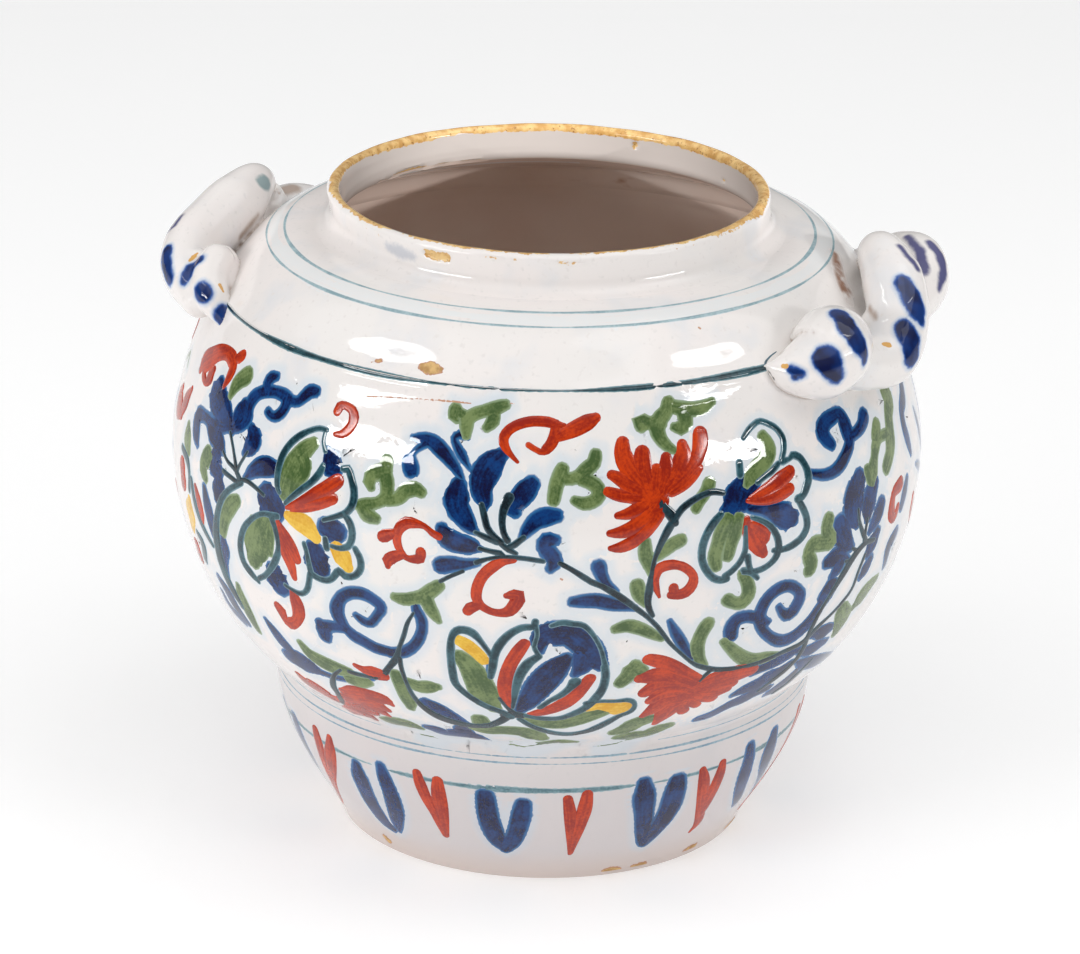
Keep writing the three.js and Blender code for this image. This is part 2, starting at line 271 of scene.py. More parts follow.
# Shoulder. The low dome that closes the pot in towards its mouth, of the same clay, with a
# thick bead of glaze in the corner below the collar.
SHOULDER_WALL = 4.8
under_mouth = [(56.6, 164), (58.4, 163), (60.4, 162), (62.6, 161), (65, 160)]
under_dome = inner_face(shoulder_line, SHOULDER_WALL, EDGE_INSIDE, 58)
shoulder_profile = [*shoulder_line, *under_mouth, *(p for p in under_dome if p[0] > 67)]
shoulder_bm = spun("glazed_shoulder", shoulder_profile)
glazed_shoulder = finished("glazed_shoulder", shoulder_bm, white_glaze, inside_glaze)
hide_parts("shoulder")


# Collar. The short upright neck with its rolled lip, thrown last. The glaze has worn and
# flaked off the lip, so a ragged band of ochre clay shows all the way round.
LIP_RADIUS, LIP_MIDDLE, MOUTH_RADIUS = 1.65, (56.55, 172.85), 54.9
SAG_FROM, SAG_OVER = 168, 5  # the neck leans and sags above this height, over so many mm


def uneven(tree, scale, detail, width):
    """Noise as wide as this and even about 0, that makes an edge ragged."""
    return sums(tree, "MULTIPLY", sums(tree, "SUBTRACT", clouds(tree, scale, detail), 0.5), width)


def measured(tree, name):
    """A measure that the mesh carries for each of its points, in millimetres."""
    return add(tree, "Attribute", {}, attribute_name=name).outputs["Fac"]


def worn_rim(tree):
    """White glaze, with painted shade inside the neck and the lip's bare clay breaking through
    raggedly.
    """
    ragged, slow = uneven(tree, 700, 4, 0.0016), uneven(tree, 90, 2, 0.0022)
    place = jar_place(tree)
    rearward = sums(tree, "MULTIPLY", add(tree, "SeparateXYZ", {0: place}).outputs[1], 0.011)
    flat = add(tree, "VectorMath", {0: place, 1: (1, 1, 0)}, operation="MULTIPLY").outputs[0]
    radius = add(tree, "VectorMath", {0: flat}, operation="LENGTH").outputs["Value"]
    inward = sums(tree, "MULTIPLY", sums(tree, "SUBTRACT", 0.0565, radius), 0.3)
    edge = sums(tree, "ADD", sums(tree, "ADD", rearward, inward), sums(tree, "ADD", ragged, slow))
    worn = rising(tree, sums(tree, "ADD", edge, height_above_ground(tree)), 0.1731, 0.17325)
    torn = uneven(tree, 900, 3, 2.0)
    chip = sums(tree, "ADD", measured(tree, "chip"), torn)
    worn = sums(tree, "MAXIMUM", worn, rising(tree, chip, 0.1, -0.1))
    # Painted shade: the glaze inside the neck is greyer, standing in for the shade there.
    inside = rising(tree, radius, 0.0564, 0.0556)
    glaze = blended(tree, inside, tin_white(tree), tone(209, 200, 194))
    patchy = rising(tree, clouds(tree, 420, 4), 0.35, 0.65)
    clay = blended(tree, patchy, tone(232, 196, 132), tone(204, 156, 90))
    clay = blended(tree, rising(tree, clouds(tree, 1300, 2), 0.6, 0.72), clay, tone(160, 114, 66))
    smear = sums(tree, "ADD", measured(tree, "smear"), torn)
    smear = sums(tree, "MULTIPLY", rising(tree, smear, 0.8, -1.2), 0.4)
    return blended(tree, worn, blended(tree, smear, glaze, tone(128, 146, 172)), clay)


lip = [
    (LIP_MIDDLE[0] + LIP_RADIUS * math.cos(t), LIP_MIDDLE[1] + LIP_RADIUS * math.sin(t))
    for t in np.linspace(0, math.pi, 15)
]
outer_neck = [(COLLAR_RADIUS, z) for z in np.arange(168.3, 172.8, 0.5)]
inner_neck = [(MOUTH_RADIUS, z) for z in np.arange(172.4, 165.9, -0.5)]
neck_foot = [(55.1, 165.4), (55.7, 164.6), (56.6, 164)]
collar_profile = [*collar_line[:-1], *outer_neck, *lip, *inner_neck, *neck_foot]
# Each row is a chip or a smear: places in the jar's frame with its radius there. A row may
# run on over lines that begin with two spaces, here and in the tables below.
CHIPS = """
collar -19.1 -55 171.2 1.2  -16.3 -55.9 170.9 1.6  -13.5 -56.6 171.1 1.3
collar -4 -58.1 173.3 0.3  1.4 -58.2 173 0.5
collar 3.5 -58.1 172.9 0.4  6 -57.9 173 0.3
collar 13.7 -56.6 172.9 0.3  18.1 -55.3 172.3 0.5  22.8 -53.5 172.5 0.3
collar 37.5 -44.5 173.9 0.3  42.9 -39.4 174.1 0.4  47 -34.3 174.2 0.3
collar 50.1 -29.5 174 0.3  55.3 -18 174.1 0.5
collar 56.7 -8.8 174.4 1.1  57.5 -2.5 174.4 1.6
collar -38.5 -43.7 173 0.3  -33.4 -47.6 172.3 0.4
collar 10.9 53.8 170.2 1  11.2 53.7 170.8 0.9
collar 38.7 39 167.2 0.7  39 38.6 167 0.6
collar -49.3 24.1 164.4 0.7  -47.1 28.3 164.2 1.3  -44.7 31.9 164.1 1.4  -41.8 35.6 163.8 1
  -39.6 38 163.9 1.3  -36.4 41.1 163.8 1.1  -32.3 44.4 164 0.7  -25.7 48.5 164 0.3
collar -51.5 19 164.1 0.6  -48 26.6 162.9 0.9
smear -30.8 -49.4 169.9 1.6  -27.1 -51.5 169.6 2.4  -23.5 -53.2 169.4 1.4
"""


def table(text, kind, columns):
    """The rows that open with this word, each as an array with this many columns."""
    rows = [r for r in text.replace("\n  ", "  ").splitlines() if r.startswith(kind + " ")]
    return [np.array(r[len(kind):].split(), float).reshape(-1, columns) for r in rows]


def gap_to(points, rows):
    """How far each point lies outside a set of dabs, in millimetres, and below 0 within one."""
    nearest = np.full(len(points), 50.0)
    for touches in rows:
        for a, b in zip(touches, touches[1:] if len(touches) > 1 else touches):
            way = (b - a)[:3]
            along = np.clip((points - a[:3]) @ way / max(way @ way, 1e-6), 0, 1)
            gap = np.linalg.norm(points - a[:3] - along[:, None] * way, axis=1)
            nearest = np.minimum(nearest, gap - (a[3] + along * (b - a)[3]))
    return nearest


collar_bm = spun("glazed_collar", collar_profile, sides=480)
chip_layer, smear_layer = (collar_bm.verts.layers.float.new(kind) for kind in ("chip", "smear"))
collar_bm.normal_update()
collar_places = np.array([v.co for v in collar_bm.verts]) / MM
chip_gaps, smear_gaps = (gap_to(collar_places, table(CHIPS, k, 4)) for k in ("collar", "smear"))
for v, gap, smear_gap in zip(collar_bm.verts, chip_gaps, smear_gaps):
    v[chip_layer], v[smear_layer] = gap, smear_gap
    angle, share = math.atan2(v.co.x, -v.co.y), (v.co.z / MM - SAG_FROM) / SAG_OVER
    share = min(max(share, 0), 1)
    sag = 0.45 + 0.2 * math.sin(2 * angle + 1)
    sag = sag + 0.07 * math.sin(9 * angle) + 0.04 * math.sin(23 * angle)
    v.co.z -= share * MM * sag
    v.co.x = (v.co.x - 0.0006 * share) * (1 + 0.008 * share)
    v.co -= v.normal * min(max(0.3 - gap, 0), 0.6) * MM
worn_rim_glaze = glossy("worn_rim_glaze", worn_rim)
glazed_collar = finished("glazed_collar", collar_bm, worn_rim_glaze, inside_glaze)
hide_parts("collar")


# Rope handles. Each is fat rolls of clay twisted round each other and pressed on to the
# shoulder edge at both ends while soft, then glazed white and dabbed with blue. Each row is
# one roll: places in the jar's frame with the roll's radius there.
BED_LOW, BED_HIGH, BED_TURN, BED_DEPTH = 130, 161.5, 42, 3  # the clay under a handle
ROUNDING = 0.12  # the share of a roll, past its line's end, that closes it
DAB_KINDS = ("blue", "grey", "dusk", "bare", "dirt", "crack")
ROLLS = """
right 69.1 -53 149 0.8  70.8 -52.3 148.4 2.9  73.5 -51 147.7 5.5  77.2 -48.4 147.6 7.9
  80.6 -45 148 9.6  82.4 -41.4 149.8 10.6  82.6 -38.6 150.5 10.6
right 82.1 -36.5 146.7 9.1  85.8 -32.9 144.6 7.3  89.5 -29.1 143.1 6.7  93.6 -21.6 142.8 7.7
  95.2 -16.8 146.4 8  94.8 -11.6 152.5 8.1  92 -4.8 158.2 8.1  87.4 3.1 162.2 6.2  85.1 13.5 157.4 5
  82.6 23.7 151.9 4.7  84 30 150 7  81 36 145 7
right 91.5 -14 148 6.4  96 -2 151.6 6.9  98 8.5 153.6 6.7  95.5 16 157.2 6.7  90.4 23 156.2 6.2
  85 30.1 151.6 6.6  81 36 146.5 8  79.5 38.6 142 8.4  77 42.6 137 4
left -84.7 -37.7 146.7 4.8  -88.9 -31.6 149.4 6.4  -92.1 -24.7 152 7.2  -92.3 -16.3 154.5 8.1
  -89.7 -6.3 157.4 8.4  -86.6 3 160.7 8.1  -84.4 11.9 163.4 5.7  -84.8 19.6 158.8 4.1
  -85.2 21 156.4 6  -84.6 28 151.5 5.6
left -88.3 -28.7 154.5 3.4  -89.3 -32.5 151.4 3.5  -88.1 -35.6 148.1 3.3  -85.3 -38 145.2 2.5
left -82.3 -30 154.9 4.8  -82.6 -35 152.3 5  -81 -39.5 149.4 4.7  -78.5 -41.7 146.3 3.6
  -76.5 -43.3 144.2 2.3  -75.2 -44.3 143.2 1
left -82 -25.1 153.9 4  -80.5 -29.3 152.1 4  -79.4 -33.7 150.1 3.5
left -86 24 151.6 5.2  -84 31.5 150.2 6  -81 38.6 149.2 6.4  -76.8 44.4 147.8 5.4
  -73.4 48.4 145.8 3.6
"""


def run_out(rows):
    """The rows of a line with one more at each end, straight on."""
    return np.vstack([2 * rows[0] - rows[1], rows, 2 * rows[-1] - rows[-2]])


def flowing(a, b, c, d, t):
    """The smooth line through four places, a share t of the way from the second on."""
    square, cube = 2 * a - 5 * b + 4 * c - d, 3 * b - a - 3 * c + d
    return (2 * b + (c - a) * t + square * t ** 2 + cube * t ** 3) / 2


def rolled(bm, touches):
    """One roll of the rope: a sheet wrapped into a tube along its line, closed at the ends."""
    made = bmesh.ops.create_grid(bm, x_segments=12 * len(touches), y_segments=24, size=1)["verts"]
    flat = np.array([v.co for v in made])
    ends = run_out(touches)
    share = np.clip(flat[:, 0] * (1 + ROUNDING), -1, 1) / 2 + 0.5
    step = np.minimum((share * (len(touches) - 1)).astype(int), len(touches) - 2)
    t = (share * (len(touches) - 1) - step)[:, None]
    a, b, c, d = (ends[step + i] for i in range(4))
    middle = flowing(a, b, c, d, t)
    square, cube = 2 * a - 5 * b + 4 * c - d, 3 * b - a - 3 * c + d
    ahead = (c - a + 2 * square * t + 3 * cube * t ** 2)[:, :3]
    ahead /= np.linalg.norm(ahead, axis=1)[:, None]
    side = np.cross(ahead, (0.3, 0, 1))
    side /= np.linalg.norm(side, axis=1)[:, None]
    past = (np.abs(flat[:, 0]) * (1 + ROUNDING) - 1) / ROUNDING
    past = np.clip(past, 0, 1) * math.pi / 2
    turn = math.pi * flat[:, 1]
    across = np.cos(turn)[:, None] * side + np.sin(turn)[:, None] * np.cross(side, ahead)
    cap = np.sin(past)[:, None] * np.sign(flat[:, :1]) * ahead + np.cos(past)[:, None] * across
    for v, p in zip(made, middle[:, :3] + middle[:, 3:] * cap):
        v.co = p * MM


def rope_handle(name, side):
    """The rolls pressed into one body with a bed of clay on the wall, softened by the glaze."""
    bm = bmesh.new()
    for touches in table(ROLLS, side, 4):
        rolled(bm, touches)
    bed = bmesh.ops.create_grid(bm, x_segments=60, y_segments=30, size=1)["verts"]
    turn = (90 if side == "right" else -90) + np.array([v.co.x for v in bed]) * BED_TURN
    share = (np.array([v.co.y for v in bed]) + 1) / 2
    run = run_at(BED_LOW) + share * (run_at(BED_HIGH) - run_at(BED_LOW))
    for v, p in zip(bed, on_wall(turn, run, -0.35)):
        v.co = p
    bed_faces = {f for v in bed for f in v.link_faces}
    sunk = bmesh.ops.extrude_face_region(bm, geom=list(bed_faces))["geom"]
    for v in [g for g in sunk if isinstance(g, bmesh.types.BMVert)]:
        v.co -= Vector((v.co.x, v.co.y, 0.03)).normalized() * BED_DEPTH * MM
    bmesh.ops.remove_doubles(bm, verts=bm.verts, dist=1e-6)
    bmesh.ops.recalc_face_normals(bm, faces=bm.faces)
    mesh = bpy.data.meshes.new(name)
    bm.to_mesh(mesh)
    bm.free()
    lump = bpy.data.objects.new(name, mesh)
    bpy.context.scene.collection.objects.link(lump)
    melt = lump.modifiers.new("clay", "REMESH")
    melt.mode, melt.voxel_size = "VOXEL", 0.5 * MM
    soft = lump.modifiers.new("glaze", "SMOOTH")
    soft.factor, soft.iterations = 0.5, 8
    settled = lump.evaluated_get(bpy.context.evaluated_depsgraph_get())
    whole = bpy.data.meshes.new_from_object(settled)
    bpy.data.objects.remove(lump)
    bm = bmesh.new()
    bm.from_mesh(whole)
    return bm


# Each row is one dab of the brush, place of dust and painted shade, crack or chip, in the same way.
DABS = """
right blue 85 -42 160.3 2.6  88.1 -45.2 157.8 2.9  90.8 -45.7 154.5 2.7  92.2 -45 151.2 1.4
  92.1 -45.3 149.4 0.7
right blue 84 -52.6 151.7 3.7  86.5 -52.2 147.4 1.9
right blue 75.2 -55.4 149.3 0.9  77.9 -55.4 148.6 1
right blue 76.2 -55.7 147.6 0.5  76.8 -55.6 147.6 0.5
right dusk 93.2 -2.8 166.9 0.8  96.3 -5.7 164.9 1.1  98.7 -6.9 162.6 1
right blue 96.3 -14.1 160.8 2.2  98.9 -15.7 158.1 2.9  100.8 -17.1 154.9 2.9  101.9 -17.5 152.5 1.5
right blue 98.4 -22.3 151.2 2.5  100.5 -23 147.8 3.1  100.9 -24.1 144.3 2.5  100.5 -24.8 142.3 0.7
right dusk 91.9 16.6 163.3 1  96.3 10 161.8 1.3  98.9 4.1 159.4 1.3  100.1 -5 160.5 0.8
right dusk 98.7 13.7 162.9 1.3  102.1 11.3 160 1.7  103.4 7.7 157.4 1.7  103.4 1 154.9 1
right bare 73.2 -54.7 149.8 0.7  73.8 -54.9 149.9 0.8
right bare 94.3 -28.2 148.6 0.6  95.1 -27.4 148.4 1
right dirt 75.7 9.6 158.7 1.8  78.4 3.9 156.6 2.4  80.4 -1.9 154.4 2.6  81.9 -5.2 152.7 1.5
right dirt 75.3 1 159.5 1.8  78.6 -6 156.2 1.8
right dirt 88.1 -16 153.8 0.6  90.4 -19.7 152.8 0.5
right crack 70 -46.3 150.6 0.2  69 -48.7 150.1 0.2  68.4 -51.4 149 0.3  69.7 -53.7 147.5 0.2
  70.9 -53.9 145.8 0.1
left dirt -81.9 31.5 155.8 1.8  -80 35.7 155.5 1.8
left dirt -79.4 -1.7 159.2 0.5  -82.1 -9 155.2 0.7
left grey -80 5.2 166.1 2.2  -79.6 6.1 165.9 2.2
left grey -89.7 7.2 167.7 0.4  -87.9 10.7 168.4 0.4
left dusk -96.3 -15.4 161.9 0.7  -97 -19.8 160.2 0.7  -99.2 -19.5 157.8 0.7
left blue -96.7 -28.7 155.8 2.1  -95.6 -32.2 153.4 2.1  -93.7 -35.3 151 1.7
left blue -85.5 -35.1 156.8 1.4  -87.4 -35.6 154.4 1.7  -88.7 -38.3 151.9 1.2
left blue -82.3 -43.5 151.2 2.6  -82 -43.8 150.7 2.6
left blue -75.8 -44.8 145.7 2.7  -75.5 -46 143.7 2.3
left bare -88.7 -33.3 155.6 0.4  -87.4 -30.7 157 0.5
left bare -78.1 -41.1 152.6 0.4  -77.1 -41.5 151 0.4
"""


def dabbed(tree):
    """White glaze, browned in its creases by dust and painted shade, with blue and grey dabs
    bleeding into it, and chips.
    """
    wobble = uneven(tree, 350, 3, 1.6)

    def gap(kind):
        return sums(tree, "ADD", measured(tree, kind), wobble)

    # Painted shade as well as dust: the hollows between the rolls and the dirt dabs are browned.
    crease = rising(tree, measured(tree, "hollow"), 0.1, 0.5)
    dust_and_shade = sums(tree, "MAXIMUM", crease, rising(tree, gap("dirt"), 1.2, -0.8))
    dust_and_shade = sums(tree, "MULTIPLY", dust_and_shade, 0.7)
    colour = blended(tree, dust_and_shade, tin_white(tree), tone(150, 118, 92))
    colour = blended(tree, rising(tree, gap("grey"), 0.9, -0.6), colour, tone(150, 168, 170))
    colour = blended(tree, rising(tree, gap("dusk"), 0.9, -0.6), colour, tone(84, 84, 126))
    blue = gap("blue")
    colour = blended(tree, rising(tree, blue, 1.6, 0.0), colour, tone(178, 194, 216))
    colour = blended(tree, rising(tree, blue, 0.7, -0.1), colour, tone(40, 84, 158))
    pooled = rising(tree, clouds(tree, 160, 2), 0.35, 0.65)
    cobalt = blended(tree, pooled, tone(0, 14, 60), tone(8, 48, 112))
    colour = blended(tree, rising(tree, blue, 0.2, -0.6), colour, cobalt)
    colour = blended(tree, rising(tree, gap("crack"), 0.3, -0.1), colour, tone(40, 38, 38))
    return blended(tree, rising(tree, gap("bare"), 0.1, -0.1), colour, tone(214, 164, 92))


handle_glaze = glossy("dabbed_handle_glaze", dabbed)
for side in ("right", "left"):
    bm = rope_handle(side + "_rope_handle", side)
    layers = {kind: bm.verts.layers.float.new(kind) for kind in (*DAB_KINDS, "hollow")}
    bm.normal_update()
    points = np.array([v.co for v in bm.verts]) / MM
    pairs = np.array([[v.index for v in e.verts] for e in bm.edges])
    both = np.vstack([pairs, pairs[:, ::-1]])
    count, soft = np.bincount(both[:, 0]), points
    for _ in range(12):
        soft = np.stack([np.bincount(both[:, 0], soft[both[:, 1], i]) / count for i in range(3)], 1)
    gaps = {"hollow": ((soft - points) * np.array([v.normal for v in bm.verts])).sum(1)}
    for kind in DAB_KINDS:
        gaps[kind] = gap_to(points, table(DABS, side + " " + kind, 4))
    for kind, layer in layers.items():
        for v, value in zip(bm.verts, gaps[kind]):
            v[layer] = value
    piece = finished(side + "_rope_handle", bm, handle_glaze, crease=180)
    ends = ("strand_1", "strand_2", "front_pad", "rear_pad")
    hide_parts(*(f"{side}_handle_{end}" for end in ends))


